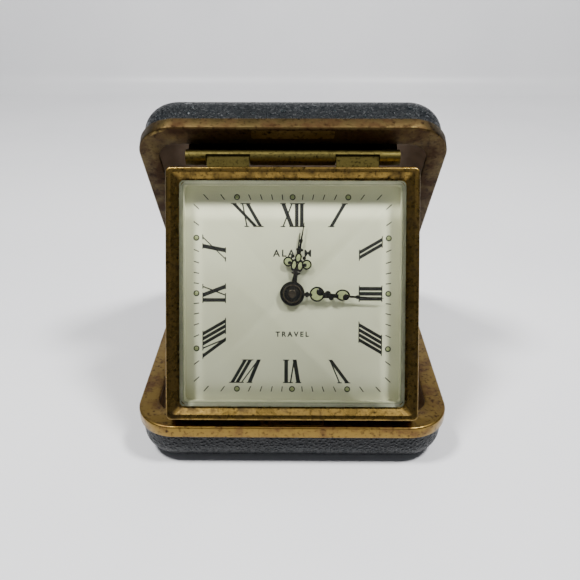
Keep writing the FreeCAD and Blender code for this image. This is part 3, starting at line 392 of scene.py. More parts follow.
def aged_brass(name, clean, tarnish, amount, grain, shine):
    """Brass with brown tarnish in clouds, dark specks, fine scratches, and sharp edges made brighter: partly brass
    worn bare, partly a painted highlight.
    """
    material, nodes, links = new_material(name)
    coords = nodes.new("ShaderNodeTexCoord")
    coords.label = "Place on the piece"
    clouds = nodes.new("ShaderNodeTexNoise")
    clouds.label = "Clouds of tarnish"
    specks = nodes.new("ShaderNodeTexNoise")
    specks.label = "Dark specks"
    rubbing = nodes.new("ShaderNodeTexNoise")
    rubbing.label = "Fine rubbing marks"
    stretch = nodes.new("ShaderNodeMapping")
    stretch.label = "Draws the marks out sideways"
    cloud_edge = nodes.new("ShaderNodeMapRange")
    cloud_edge.label = "Where tarnish shows"
    speck_edge = nodes.new("ShaderNodeMapRange")
    speck_edge.label = "Where specks show"
    edges = nodes.new("ShaderNodeNewGeometry")
    edges.label = "Sharp edges, worn and painted bright"
    edge_wear_and_highlight = nodes.new("ShaderNodeMapRange")
    edge_wear_and_highlight.label = "How far the edges are worn bare and painted bright"
    tarnished = nodes.new("ShaderNodeMix")
    tarnished.label = "Tarnish over brass"
    bare_edge_and_highlight = nodes.new("ShaderNodeMix")
    bare_edge_and_highlight.label = "Bare brass and painted highlight on the edges"
    speckled = nodes.new("ShaderNodeMix")
    speckled.label = "Specks over tarnish"
    dullness = nodes.new("ShaderNodeMapRange")
    dullness.label = "Tarnish is duller"
    relief = nodes.new("ShaderNodeBump")
    relief.label = "Scratches"
    pits = nodes.new("ShaderNodeBump")
    pits.label = "Shallow pits"
    shader = nodes.new("ShaderNodeBsdfPrincipled")
    shader.label = "Brass surface"
    out = nodes.new("ShaderNodeOutputMaterial")
    out.label = "To the piece"
    spread(((coords, stretch, edges), (clouds, specks, rubbing), (cloud_edge, speck_edge, edge_wear_and_highlight),
            (tarnished, dullness), (bare_edge_and_highlight, relief), (speckled, pits), (shader,), (out,)))
    group_in(nodes, "Tarnish", (clouds, cloud_edge, tarnished, dullness))
    group_in(nodes, "Specks", (specks, speck_edge, speckled))
    group_in(nodes, "Worn edges and painted edge highlights", (edges, edge_wear_and_highlight, bare_edge_and_highlight))
    group_in(nodes, "Relief", (stretch, rubbing, relief, pits))
    for mix in (tarnished, bare_edge_and_highlight, speckled):
        mix.data_type = "RGBA"
    clouds.inputs["Scale"].default_value = grain
    clouds.inputs["Detail"].default_value = 8
    clouds.inputs["Roughness"].default_value = 0.62
    specks.inputs["Scale"].default_value = grain * 4.5
    specks.inputs["Detail"].default_value = 4
    stretch.inputs["Scale"].default_value = (0.18, 1.0, 1.0)
    rubbing.inputs["Scale"].default_value = 5200
    rubbing.inputs["Detail"].default_value = 3
    cloud_edge.inputs["From Min"].default_value = 0.62 - amount * 0.4
    cloud_edge.inputs["From Max"].default_value = 0.80 - amount * 0.3
    speck_edge.inputs["From Min"].default_value = 0.53
    speck_edge.inputs["From Max"].default_value = 0.75
    # Sharp edges are painted brighter: partly brass worn bare, partly a painted highlight in place of the edges'
    # reflections.
    edge_wear_and_highlight.inputs["From Min"].default_value = 0.515
    edge_wear_and_highlight.inputs["From Max"].default_value = 0.60
    edge_wear_and_highlight.inputs["To Max"].default_value = 0.75
    tarnished.inputs["A"].default_value = (*clean, 1)
    tarnished.inputs["B"].default_value = (*tarnish, 1)
    # Painted highlight and bare brass on the sharp edges.
    bare_edge_and_highlight.inputs["B"].default_value = tinted(clean, 2.6, 2.6, 2.4)
    speckled.inputs["B"].default_value = tinted(tarnish, 0.35, 0.35, 0.35)
    dullness.inputs["To Min"].default_value = shine
    dullness.inputs["To Max"].default_value = shine + 0.22
    relief.inputs["Strength"].default_value = 0.25
    relief.inputs["Distance"].default_value = 0.00003
    pits.inputs["Strength"].default_value = 0.3
    pits.inputs["Distance"].default_value = 0.00006
    shader.inputs["Metallic"].default_value = 1.0
    links.new(coords.outputs["Object"], clouds.inputs["Vector"])
    links.new(coords.outputs["Object"], specks.inputs["Vector"])
    links.new(coords.outputs["Object"], stretch.inputs["Vector"])
    links.new(stretch.outputs["Vector"], rubbing.inputs["Vector"])
    links.new(clouds.outputs["Fac"], cloud_edge.inputs["Value"])
    links.new(specks.outputs["Fac"], speck_edge.inputs["Value"])
    links.new(edges.outputs["Pointiness"], edge_wear_and_highlight.inputs["Value"])
    links.new(cloud_edge.outputs["Result"], tarnished.inputs["Factor"])
    links.new(cloud_edge.outputs["Result"], dullness.inputs["Value"])
    links.new(tarnished.outputs["Result"], bare_edge_and_highlight.inputs["A"])
    links.new(edge_wear_and_highlight.outputs["Result"], bare_edge_and_highlight.inputs["Factor"])
    links.new(bare_edge_and_highlight.outputs["Result"], speckled.inputs["A"])
    links.new(speck_edge.outputs["Result"], speckled.inputs["Factor"])
    links.new(rubbing.outputs["Fac"], relief.inputs["Height"])
    links.new(specks.outputs["Fac"], pits.inputs["Height"])
    links.new(relief.outputs["Normal"], pits.inputs["Normal"])
    links.new(speckled.outputs["Result"], shader.inputs["Base Color"])
    links.new(dullness.outputs["Result"], shader.inputs["Roughness"])
    links.new(pits.outputs["Normal"], shader.inputs["Normal"])
    links.new(shader.outputs["BSDF"], out.inputs["Surface"])
    return material


def pebbled_leather(name, tone):
    """Dark leather pressed with fine round pebbles, glossy on their tops; painted shade in the creases, painted
    glints on a few pebbles.
    """
    material, nodes, links = new_material(name)
    coords = nodes.new("ShaderNodeTexCoord")
    coords.label = "Place on the leather"
    wander = nodes.new("ShaderNodeTexNoise")
    wander.label = "Uneven pressing"
    shifted = nodes.new("ShaderNodeMix")
    shifted.label = "Pebbles stray from rows"
    pebbles = nodes.new("ShaderNodeTexVoronoi")
    pebbles.label = "Pebbles"
    domes = nodes.new("ShaderNodeMapRange")
    domes.label = "Round tops, narrow creases"
    glint = nodes.new("ShaderNodeMapRange")
    glint.label = "A few pebbles get painted glints and more gloss"
    painted_glints = nodes.new("ShaderNodeMix")
    painted_glints.label = "Painted glints on a few pebbles"
    hide = nodes.new("ShaderNodeTexNoise")
    hide.label = "Slow swelling of the hide"
    tops = nodes.new("ShaderNodeMix")
    tops.label = "Painted shade in the creases"
    worn = nodes.new("ShaderNodeMix")
    worn.label = "Greyer where it is handled"
    gloss = nodes.new("ShaderNodeMapRange")
    gloss.label = "Tops are glossier"
    grain = nodes.new("ShaderNodeBump")
    grain.label = "Pebble relief"
    swell = nodes.new("ShaderNodeBump")
    swell.label = "Swelling relief"
    shader = nodes.new("ShaderNodeBsdfPrincipled")
    shader.label = "Leather surface"
    out = nodes.new("ShaderNodeOutputMaterial")
    out.label = "To the piece"
    spread(((coords,), (wander, hide), (shifted,), (pebbles,), (domes, glint),
            (painted_glints, gloss, swell), (tops,), (worn, grain), (shader,), (out,)))
    group_in(nodes, "Pebbles", (wander, shifted, pebbles, domes, grain))
    group_in(nodes, "Painted glints and crease shade", (glint, painted_glints, tops))
    group_in(nodes, "Hide", (hide, swell, worn))
    for mix in (tops, painted_glints, worn):
        mix.data_type = "RGBA"
    wander.inputs["Scale"].default_value = 900
    shifted.data_type = "VECTOR"
    shifted.inputs["Factor"].default_value = 0.00035
    pebbles.feature = "SMOOTH_F1"
    pebbles.inputs["Scale"].default_value = 1200
    pebbles.inputs["Smoothness"].default_value = 0.35
    domes.inputs["From Min"].default_value = 0.15
    domes.inputs["From Max"].default_value = 0.62
    domes.inputs["To Min"].default_value = 1.0
    domes.inputs["To Max"].default_value = 0.0
    domes.interpolation_type = "SMOOTHSTEP"
    hide.inputs["Scale"].default_value = 130
    hide.inputs["Detail"].default_value = 3
    # Painted shade: the creases between the pebbles are painted at about a third of the tops' tone.
    tops.inputs["A"].default_value = tinted(tone, 0.35, 0.35, 0.35)
    glint.inputs["From Min"].default_value = 0.66
    glint.inputs["From Max"].default_value = 0.95
    # Painted highlight: a few pebbles are painted many times lighter as glints; the same pebbles are also made
    # glossier.
    painted_glints.inputs["A"].default_value = (*tone, 1)
    painted_glints.inputs["B"].default_value = tinted(tone, 16, 12, 10)
    worn.inputs["B"].default_value = (0.007, 0.009, 0.011, 1)
    gloss.inputs["To Min"].default_value = 0.42
    gloss.inputs["To Max"].default_value = 0.1
    grain.inputs["Strength"].default_value = 0.9
    grain.inputs["Distance"].default_value = 0.0003
    swell.inputs["Strength"].default_value = 0.4
    swell.inputs["Distance"].default_value = 0.0006
    shader.inputs["Specular IOR Level"].default_value = 0.2
    links.new(coords.outputs["Object"], wander.inputs["Vector"])
    links.new(coords.outputs["Object"], hide.inputs["Vector"])
    links.new(coords.outputs["Object"], shifted.inputs["A"])
    links.new(wander.outputs["Color"], shifted.inputs["B"])
    links.new(shifted.outputs["Result"], pebbles.inputs["Vector"])
    links.new(pebbles.outputs["Distance"], domes.inputs["Value"])
    links.new(pebbles.outputs["Color"], glint.inputs["Value"])
    links.new(glint.outputs["Result"], painted_glints.inputs["Factor"])
    links.new(painted_glints.outputs["Result"], tops.inputs["B"])
    links.new(domes.outputs["Result"], tops.inputs["Factor"])
    links.new(glint.outputs["Result"], gloss.inputs["Value"])
    links.new(domes.outputs["Result"], grain.inputs["Height"])
    links.new(hide.outputs["Fac"], swell.inputs["Height"])
    links.new(swell.outputs["Normal"], grain.inputs["Normal"])
    links.new(tops.outputs["Result"], worn.inputs["A"])
    links.new(hide.outputs["Fac"], worn.inputs["Factor"])
    links.new(worn.outputs["Result"], shader.inputs["Base Color"])
    links.new(gloss.outputs["Result"], shader.inputs["Roughness"])
    links.new(grain.outputs["Normal"], shader.inputs["Normal"])
    links.new(shader.outputs["BSDF"], out.inputs["Surface"])
    return material


def lacquer(name, tone, stain, rough, grain, relief):
    """Paint or lacquer with faint stains and a fine surface."""
    material, nodes, links = new_material(name)
    coords = nodes.new("ShaderNodeTexCoord")
    coords.label = "Place on the piece"
    patches = nodes.new("ShaderNodeTexNoise")
    patches.label = "Faint stains"
    speckle = nodes.new("ShaderNodeTexNoise")
    speckle.label = "Fine surface"
    spread_of = nodes.new("ShaderNodeMapRange")
    spread_of.label = "Where stains show"
    stained = nodes.new("ShaderNodeMix")
    stained.label = "Stains over paint"
    sheen = nodes.new("ShaderNodeMapRange")
    sheen.label = "Uneven sheen"
    surface = nodes.new("ShaderNodeBump")
    surface.label = "Brush and dust relief"
    shader = nodes.new("ShaderNodeBsdfPrincipled")
    shader.label = "Paint surface"
    out = nodes.new("ShaderNodeOutputMaterial")
    out.label = "To the piece"
    spread(((coords,), (patches, speckle), (spread_of, sheen), (stained, surface), (shader,), (out,)))
    group_in(nodes, "Stains", (patches, spread_of, stained))
    group_in(nodes, "Surface", (speckle, sheen, surface))
    patches.inputs["Scale"].default_value = grain
    patches.inputs["Detail"].default_value = 5
    speckle.inputs["Scale"].default_value = grain * 22
    speckle.inputs["Detail"].default_value = 3
    spread_of.inputs["From Min"].default_value = 0.42
    spread_of.inputs["From Max"].default_value = 0.78
    stained.data_type = "RGBA"
    stained.inputs["A"].default_value = (*tone, 1)
    stained.inputs["B"].default_value = (*stain, 1)
    sheen.inputs["To Min"].default_value = rough
    sheen.inputs["To Max"].default_value = min(1.0, rough + 0.12)
    surface.inputs["Strength"].default_value = relief
    surface.inputs["Distance"].default_value = 0.00003
    links.new(coords.outputs["Object"], patches.inputs["Vector"])
    links.new(coords.outputs["Object"], speckle.inputs["Vector"])
    links.new(patches.outputs["Fac"], spread_of.inputs["Value"])
    links.new(spread_of.outputs["Result"], stained.inputs["Factor"])
    links.new(speckle.outputs["Fac"], sheen.inputs["Value"])
    links.new(speckle.outputs["Fac"], surface.inputs["Height"])
    links.new(stained.outputs["Result"], shader.inputs["Base Color"])
    links.new(sheen.outputs["Result"], shader.inputs["Roughness"])
    links.new(surface.outputs["Normal"], shader.inputs["Normal"])
    links.new(shader.outputs["BSDF"], out.inputs["Surface"])
    return material


def ground_steel(name, tone, rough):
    """Steel with grinding lines and faint blue-grey patches."""
    material, nodes, links = new_material(name)
    coords = nodes.new("ShaderNodeTexCoord")
    coords.label = "Place on the piece"
    stretch = nodes.new("ShaderNodeMapping")
    stretch.label = "Draws the lines out"
    lines = nodes.new("ShaderNodeTexNoise")
    lines.label = "Grinding lines"
    patches = nodes.new("ShaderNodeTexNoise")
    patches.label = "Dull patches"
    tint = nodes.new("ShaderNodeMix")
    tint.label = "Patches over steel"
    dullness = nodes.new("ShaderNodeMapRange")
    dullness.label = "Lines catch the light"
    relief = nodes.new("ShaderNodeBump")
    relief.label = "Line relief"
    shader = nodes.new("ShaderNodeBsdfPrincipled")
    shader.label = "Steel surface"
    out = nodes.new("ShaderNodeOutputMaterial")
    out.label = "To the piece"
    spread(((coords,), (stretch, patches), (lines,), (tint, dullness, relief), (shader,), (out,)))
    group_in(nodes, "Grinding", (stretch, lines, dullness, relief))
    stretch.inputs["Scale"].default_value = (0.1, 1.0, 1.0)
    lines.inputs["Scale"].default_value = 4000
    patches.inputs["Scale"].default_value = 300
    tint.data_type = "RGBA"
    tint.inputs["A"].default_value = (*tone, 1)
    tint.inputs["B"].default_value = tinted(tone, 0.6, 0.62, 0.68)
    dullness.inputs["To Min"].default_value = rough
    dullness.inputs["To Max"].default_value = rough + 0.2
    relief.inputs["Strength"].default_value = 0.2
    relief.inputs["Distance"].default_value = 0.00002
    shader.inputs["Metallic"].default_value = 1.0
    links.new(coords.outputs["Object"], stretch.inputs["Vector"])
    links.new(coords.outputs["Object"], patches.inputs["Vector"])
    links.new(stretch.outputs["Vector"], lines.inputs["Vector"])
    links.new(patches.outputs["Fac"], tint.inputs["Factor"])
    links.new(lines.outputs["Fac"], dullness.inputs["Value"])
    links.new(lines.outputs["Fac"], relief.inputs["Height"])
    links.new(tint.outputs["Result"], shader.inputs["Base Color"])
    links.new(dullness.outputs["Result"], shader.inputs["Roughness"])
    links.new(relief.outputs["Normal"], shader.inputs["Normal"])
    links.new(shader.outputs["BSDF"], out.inputs["Surface"])
    return material


def clear_crystal(name):
    """Clear moulded plastic: see-through face on, mirror-like at a slant, with faint haze."""
    material, nodes, links = new_material(name)
    coords = nodes.new("ShaderNodeTexCoord")
    coords.label = "Place on the crystal"
    haze = nodes.new("ShaderNodeTexNoise")
    haze.label = "Wiping haze"
    haze_range = nodes.new("ShaderNodeMapRange")
    haze_range.label = "How hazy the gloss is"
    slant = nodes.new("ShaderNodeFresnel")
    slant.label = "More mirror at a slant"
    clear = nodes.new("ShaderNodeBsdfTransparent")
    clear.label = "Clear plastic"
    mirror = nodes.new("ShaderNodeBsdfPrincipled")
    mirror.label = "Polished surface"
    mix = nodes.new("ShaderNodeMixShader")
    mix.label = "Gloss over clear"
    facing = nodes.new("ShaderNodeLayerWeight")
    facing.label = "Where the plastic is seen edge on"
    tint = nodes.new("ShaderNodeMix")
    tint.label = "Grey-green through its thickness"
    out = nodes.new("ShaderNodeOutputMaterial")
    out.label = "To the piece"
    spread(((coords, facing), (haze, slant, tint), (haze_range, clear), (mirror,), (mix,), (out,)))
    group_in(nodes, "Haze", (haze, haze_range))
    group_in(nodes, "Clear plastic", (facing, tint, slant, clear, mirror, mix))
    haze.inputs["Scale"].default_value = 160
    haze.inputs["Detail"].default_value = 6
    haze_range.inputs["To Min"].default_value = 0.02
    haze_range.inputs["To Max"].default_value = 0.12
    slant.inputs["IOR"].default_value = 1.22
    facing.inputs["Blend"].default_value = 0.2
    tint.data_type = "RGBA"
    tint.inputs["A"].default_value = (0.985, 0.99, 0.965, 1)
    tint.inputs["B"].default_value = (0.80, 0.83, 0.77, 1)
    mirror.inputs["Base Color"].default_value = (0.9, 0.92, 0.9, 1)
    mirror.inputs["Metallic"].default_value = 1.0
    links.new(coords.outputs["Object"], haze.inputs["Vector"])
    links.new(haze.outputs["Fac"], haze_range.inputs["Value"])
    links.new(haze_range.outputs["Result"], mirror.inputs["Roughness"])
    links.new(slant.outputs["Fac"], mix.inputs["Fac"])
    links.new(clear.outputs["BSDF"], mix.inputs[1])
    links.new(mirror.outputs["BSDF"], mix.inputs[2])
    links.new(facing.outputs["Facing"], tint.inputs["Factor"])
    links.new(tint.outputs["Result"], clear.inputs["Color"])
    links.new(mix.outputs["Shader"], out.inputs["Surface"])
    return material


class TRAVELCLOCK_OT_finishes(bpy.types.Operator):
    """Make every finish and give the carried-over nodes theirs"""
    bl_idname = "travel_clock.finishes"
    bl_label = "Finishes"

    def execute(self, context):
        tones = context.scene.clock_colours
        # The lid's rim gets darker brass than the base's: partly heavier tarnish, partly painted shade.
        aged_brass("Lid rim brass", tones.shaded_lid_brass, tones.shaded_lid_copper, amount=0.60, grain=210,
                   shine=0.38)
        aged_brass("Base rim brass", tones.brass, tones.copper, amount=0.40, grain=210, shine=0.32)
        aged_brass("Bezel brass", tones.brass, tones.tarnish, amount=0.45, grain=260, shine=0.25)
        # Hinge brass: partly tarnish, partly painted shade under the lid's flange; it goes on every part in the
        # aged_brass slot.
        aged_brass("Hinge brass", tones.shaded_hinge_brass, tones.olive, amount=0.70, grain=420, shine=0.38)
        aged_brass("Knob brass", tones.brass, tones.tarnish, amount=0.2, grain=260, shine=0.24)
        aged_brass("Movement brass", tones.plate, tones.brass, amount=0.1, grain=200, shine=0.28)
        pebbled_leather("Pebbled leather", tones.leather)
        ground_steel("Ground steel", tones.steel, rough=0.25)
        ground_steel("Burnished steel", (0.20, 0.16, 0.12), rough=0.2)
        ground_steel("Pressed sheet", (0.22, 0.22, 0.23), rough=0.45)
        lacquer("Dial lacquer", tones.dial, stain=(0.76, 0.75, 0.57), rough=0.5, grain=90, relief=0.1)
        lacquer("Dial ink", (0.010, 0.010, 0.011), stain=(0.022, 0.021, 0.020), rough=0.42, grain=500,
                relief=0.1)
        lacquer("Black lacquer", (0.006, 0.006, 0.006), stain=(0.020, 0.015, 0.010), rough=0.16,
                grain=700, relief=0.15)
        lacquer("Luminous paint", tones.lume, stain=(0.30, 0.33, 0.16), rough=0.7, grain=1400,
                relief=0.8)
        lacquer("Flocked lining", tones.lining, stain=(0.190, 0.140, 0.105), rough=0.9, grain=240,
                relief=1.0)
        lacquer("Ruby", (0.45, 0.02, 0.05), stain=(0.30, 0.01, 0.03), rough=0.08, grain=300,
                relief=0.05)
        lacquer("Spacer paint", (0.85, 0.83, 0.68), stain=(0.70, 0.67, 0.54), rough=0.45, grain=200,
                relief=0.1)
        clear_crystal("Clear crystal")
        by_slot = {"leather": "Pebbled leather", "lining_cloth": "Flocked lining",
                   "shell_steel": "Pressed sheet", "aged_brass": "Hinge brass",
                   "movement_brass": "Movement brass", "knob_brass": "Knob brass",
                   "steel": "Ground steel", "black_hands": "Black lacquer",
                   "crystal_clear": "Clear crystal", "dial_enamel": "Dial lacquer", "ruby": "Ruby"}
        for part in frame["record"]["subparts"]:
            node = frame["nodes"][part["node"]]
            node.data.materials.clear()
            node.data.materials.append(finish(by_slot[part["material_slot"]]))
        by_node = {"dial_spacer": "Spacer paint", "base_catch_plate": "Base rim brass",
                   "lid_catch_plate": "Lid rim brass", "case_can": "Bezel brass",
                   "back_cover": "Bezel brass"}
        for name, material in by_node.items():
            frame["nodes"][name].data.materials[0] = finish(material)
        return {"FINISHED"}


class TRAVELCLOCK_OT_covers(bpy.types.Operator):
    """Stretch the leather over both half cases and line them"""
    bl_idname = "travel_clock.covers"
    bl_label = "Leather covers and linings"

    def execute(self, context):
        size = context.scene.clock_sizes
        for half, matrix in HALVES:
            cover = self.tray(size, half + "_cover", size.leather_inset, 0, size.leather)
            settle(cover, matrix, half, finish("Pebbled leather"), (half + "_leather",))
            lining = self.tray(size, half + "_flocking", size.leather_inset + size.wall, size.wall,
                               size.lining)
            settle(lining, matrix, half, finish("Flocked lining"), (half + "_lining",))
        return {"FINISHED"}

    def tray(self, size, name, inset, floor, thickness):
        """Open tray with round corners and a rounded lower edge."""
        top = MATING - size.flange_thickness
        x = HALF_X - inset
        y = HALF_Y - inset
        tray = block(name, (-x, -y, floor), (x, y, top), size.rim_corner - inset, 16)
        bevel(tray, lies_at(floor), size.leather_edge - floor, 12)
        pick(tray, "FACE", lies_at(top))
        bpy.ops.mesh.delete(type="FACE")
        leave()
        modify(tray, "SOLIDIFY", thickness=thickness, offset=-1, use_even_offset=True)
        return tray


class TRAVELCLOCK_OT_rims(bpy.types.Operator):
    """Form the two brass rims with their flanges"""
    bl_idname = "travel_clock.rims"
    bl_label = "Brass rims"

    def execute(self, context):
        size = context.scene.clock_sizes
        for half, matrix in HALVES:
            rim = self.rim(size, half + "_brass_rim")
            brass = finish(half.title() + " rim brass")
            settle(rim, matrix, half, brass, (half + "_rim",), 50)
        return {"FINISHED"}

    def rim(self, size, name):
        """Band with a flat flange turned in over the leather, open in the middle."""
        x, y = HALF_X, HALF_Y
        rim = block(name, (-x, -y, RIM_LOW.z), (x, y, MATING), size.rim_corner, 20)
        bevel(rim, lies_at(MATING), RIM_EDGE, 5)
        inset = size.leather_inset
        under = block("under", (-x + inset, -y + inset, 0),
                      (x - inset, y - inset, MATING - size.flange_thickness),
                      size.rim_corner - inset, 20)
        above = MATING + 1 * MM
        opening = block("opening", (-x + size.flange, -y + size.flange_front, 0),
                        (x - size.flange, y - size.flange_rear, above), size.opening_corner, 16)
        cut(rim, under, opening)
        soften(rim, RIM_CUT_EDGE, 3, angle_limit=math.radians(50))
        return rim


class TRAVELCLOCK_OT_bezel(bpy.types.Operator):
    """Form the square bezel and set the crystal in it"""
    bl_idname = "travel_clock.bezel"
    bl_label = "Bezel and crystal"

    def execute(self, context):
        size = context.scene.clock_sizes
        bezel = square_block("clock_bezel", size.bezel, -size.bezel_depth, 0, BEZEL_CORNER)
        bevel(bezel, lies_at(0), BEZEL_EDGE, 5)
        slope = square_block("slope", size.bezel_ridge, -size.window_depth, OVERCUT, SLOPE_CORNER, 4)
        pick(slope, "FACE", lies_at(-size.window_depth))
        scale = size.window / size.bezel_ridge
        bpy.ops.transform.resize(value=(scale, scale, 1))
        leave()
        overlap = 0.02 * MM
        window = square_block("window", size.window, WINDOW_BACK, -size.window_depth + overlap,
                              WINDOW_CORNER)
        cavity = square_block("cavity", CAVITY_SIDE, CAVITY_BACK, CAVITY_FRONT, CAVITY_CORNER)
        cut(bezel, slope, window, cavity)
        soften(bezel, BEZEL_CUT_EDGE, 3, angle_limit=math.radians(22))
        settle(bezel, FACE, "clock", finish("Bezel brass"), ("bezel",), 50)
        crystal = self.crystal(size)
        settle(crystal, FACE, "clock", finish("Clear crystal"), ("crystal",))
        return {"FINISHED"}

    def crystal(self, size):
        """Box crystal, open behind, with rounded front edges."""
        crystal = square_block("box_crystal", size.window - CRYSTAL_GAP, CRYSTAL_BACK,
                               -size.crystal_front, CRYSTAL_CORNER)
        bevel(crystal, lies_at(-size.crystal_front), CRYSTAL_EDGE, 8)
        pick(crystal, "FACE", lies_at(CRYSTAL_BACK))
        bpy.ops.mesh.delete(type="FACE")
        leave()
        modify(crystal, "SOLIDIFY", thickness=size.crystal_wall, offset=-1)
        return crystal


class TRAVELCLOCK_OT_dial(bpy.types.Operator):
    """Lacquer the dial and print its numerals, minute track and words"""
    bl_idname = "travel_clock.dial"
    bl_label = "Dial"

    def execute(self, context):
        size = context.scene.clock_sizes
        plate = square_block("dial_plate", size.dial_side, -size.dial - DIAL_SHEET, -size.dial,
                             DIAL_CORNER)
        cut(plate, cylinder("hole", DIAL_HOLE, z0=-8 * MM, z1=-4 * MM))
        soften(plate, DIAL_EDGE, 2)
        settle(plate, FACE, "clock", finish("Dial lacquer"), ("dial",))
        ink = finish("Dial ink")
        numerals = [self.numeral(size, hour) for hour in range(12)]
        settle(join("dial_numerals", numerals), FACE, "clock", ink)
        ticks = [self.tick(size, minute) for minute in range(60) if minute % 5]
        settle(join("minute_track", ticks), FACE, "clock", ink)
        words = [self.word(size, "ALARM", y=10.1, height=1.75, tracking=1.35),
                 self.word(size, "TRAVEL", y=-10.4, height=1.25, tracking=1.5)]
        settle(join("dial_words", words), FACE, "clock", ink)
        self.dots(size)
        return {"FINISHED"}

    def side_and_slope(self, minute):
        """Which side of the square a minute lies on, and its slope from that side's middle."""
        side = round(minute / 15) % 4
        degrees = minute * 6 - side * 90
        if degrees > 180:
            degrees -= 360
        return side, math.tan(math.radians(degrees))

    def stroke(self, size, corners, side, slope):
        """One printed stroke. Corners are (across, out from the centre), leaning along the radius."""
        deselect()
        bpy.ops.mesh.primitive_plane_add(size=1)
        piece = take("stroke")
        for vert, (across, out) in zip(piece.data.vertices, corners):
            vert.co = (across + out * slope, out, -size.dial + INK_HEIGHT)
        piece.data.transform(Matrix.Rotation(-side * math.pi / 2, 4, "Z"))
        return piece

    def numeral(self, size, hour):
        """Roman numeral whose strokes lean along the radius and whose feet face the centre."""
        side, slope = self.side_and_slope(hour * 5)
        low, high = size.numeral_foot, size.numeral_top
        serif = 0.26 * MM
        # Legs are (foot, top, width) and serifs (place, half length), in millimetres.
        advance = {"I": 1.27 * MM, "V": 3.0 * MM, "X": 3.4 * MM}
        legs = {"I": ((0, 0, 0.94),), "V": ((0, -1.0, 1.0), (0.1, 1.05, 0.36)),
                "X": ((1.15, -1.15, 1.05), (-1.15, 1.15, 0.36))}
        feet = {"I": ((0, 0.8),), "V": (), "X": ((-1.15, 0.6), (1.15, 0.72))}
        tops = {"I": ((0, 0.8),), "V": ((-1.0, 0.74), (1.0, 0.55)), "X": ((-1.15, 0.72), (1.15, 0.6))}
        letters = ROMAN[hour]
        start = -sum(advance[letter] for letter in letters) / 2
        pieces = []
        for letter in letters:
            middle = start + advance[letter] / 2
            start += advance[letter]
            for foot, top, width in legs[letter]:
                a, b, w = middle + foot * MM, middle + top * MM, width * MM / 2
                corners = ((a - w, low), (a + w, low), (b - w, high), (b + w, high))
                pieces.append(self.stroke(size, corners, side, slope))
            for marks, y0, y1 in ((feet, low, low + serif), (tops, high - serif, high)):
                for at, w in marks[letter]:
                    a = middle + at * MM
                    w = w * MM
                    corners = ((a - w, y0), (a + w, y0), (a - w, y1), (a + w, y1))
                    pieces.append(self.stroke(size, corners, side, slope))
        return join("numeral", pieces)

    def tick(self, size, minute):
        side, slope = self.side_and_slope(minute)
        half = 0.12 * MM * math.hypot(1, slope)
        y0, y1 = size.track - size.track_width / 2, size.track + size.track_width / 2
        return self.stroke(size, ((-half, y0), (half, y0), (-half, y1), (half, y1)), side, slope)

    def word(self, size, text, y, height, tracking):
        """Printed word; y and the height of its capitals are in millimetres."""
        deselect()
        bpy.ops.object.text_add(location=(0, y * MM, -size.dial + INK_HEIGHT))
        letters = bpy.context.object
        letters.data.body = text
        letters.data.size = height * 1.42 * MM
        letters.data.space_character = tracking
        letters.data.align_x = "CENTER"
        letters.data.align_y = "CENTER"
        letters.data.offset = 0.055 * MM
        bpy.ops.object.convert(target="MESH")
        return take("word")

    def dots(self, size):
        """Twelve luminous dots, each in a dark printed ring, from one dot and one ring."""
        z = -size.dial + 0.01 * MM
        dot = bead("dot", (0, 0), size.dot * 0.82, z, 0.16 * MM)
        ring = loop_wire("ring", (0, 0), size.dot, 0.14 * MM, z)
        dots, rings = [], []
        for hour in range(12):
            side, slope = self.side_and_slope(hour * 5)
            turn = Matrix.Rotation(-side * math.pi / 2, 4, "Z")
            matrix = turn @ Matrix.Translation((size.track * slope, size.track, 0))
            for first, copies in ((dot, dots), (ring, rings)):
                copy = first.copy()
                copy.data = first.data.copy()
                bpy.context.collection.objects.link(copy)
                copy.data.transform(matrix)
                copies.append(copy)
        bpy.data.objects.remove(dot)
        bpy.data.objects.remove(ring)
        settle(join("hour_dots", dots), FACE, "clock", finish("Luminous paint"))
        settle(join("hour_dot_rings", rings), FACE, "clock", finish("Dial ink"))


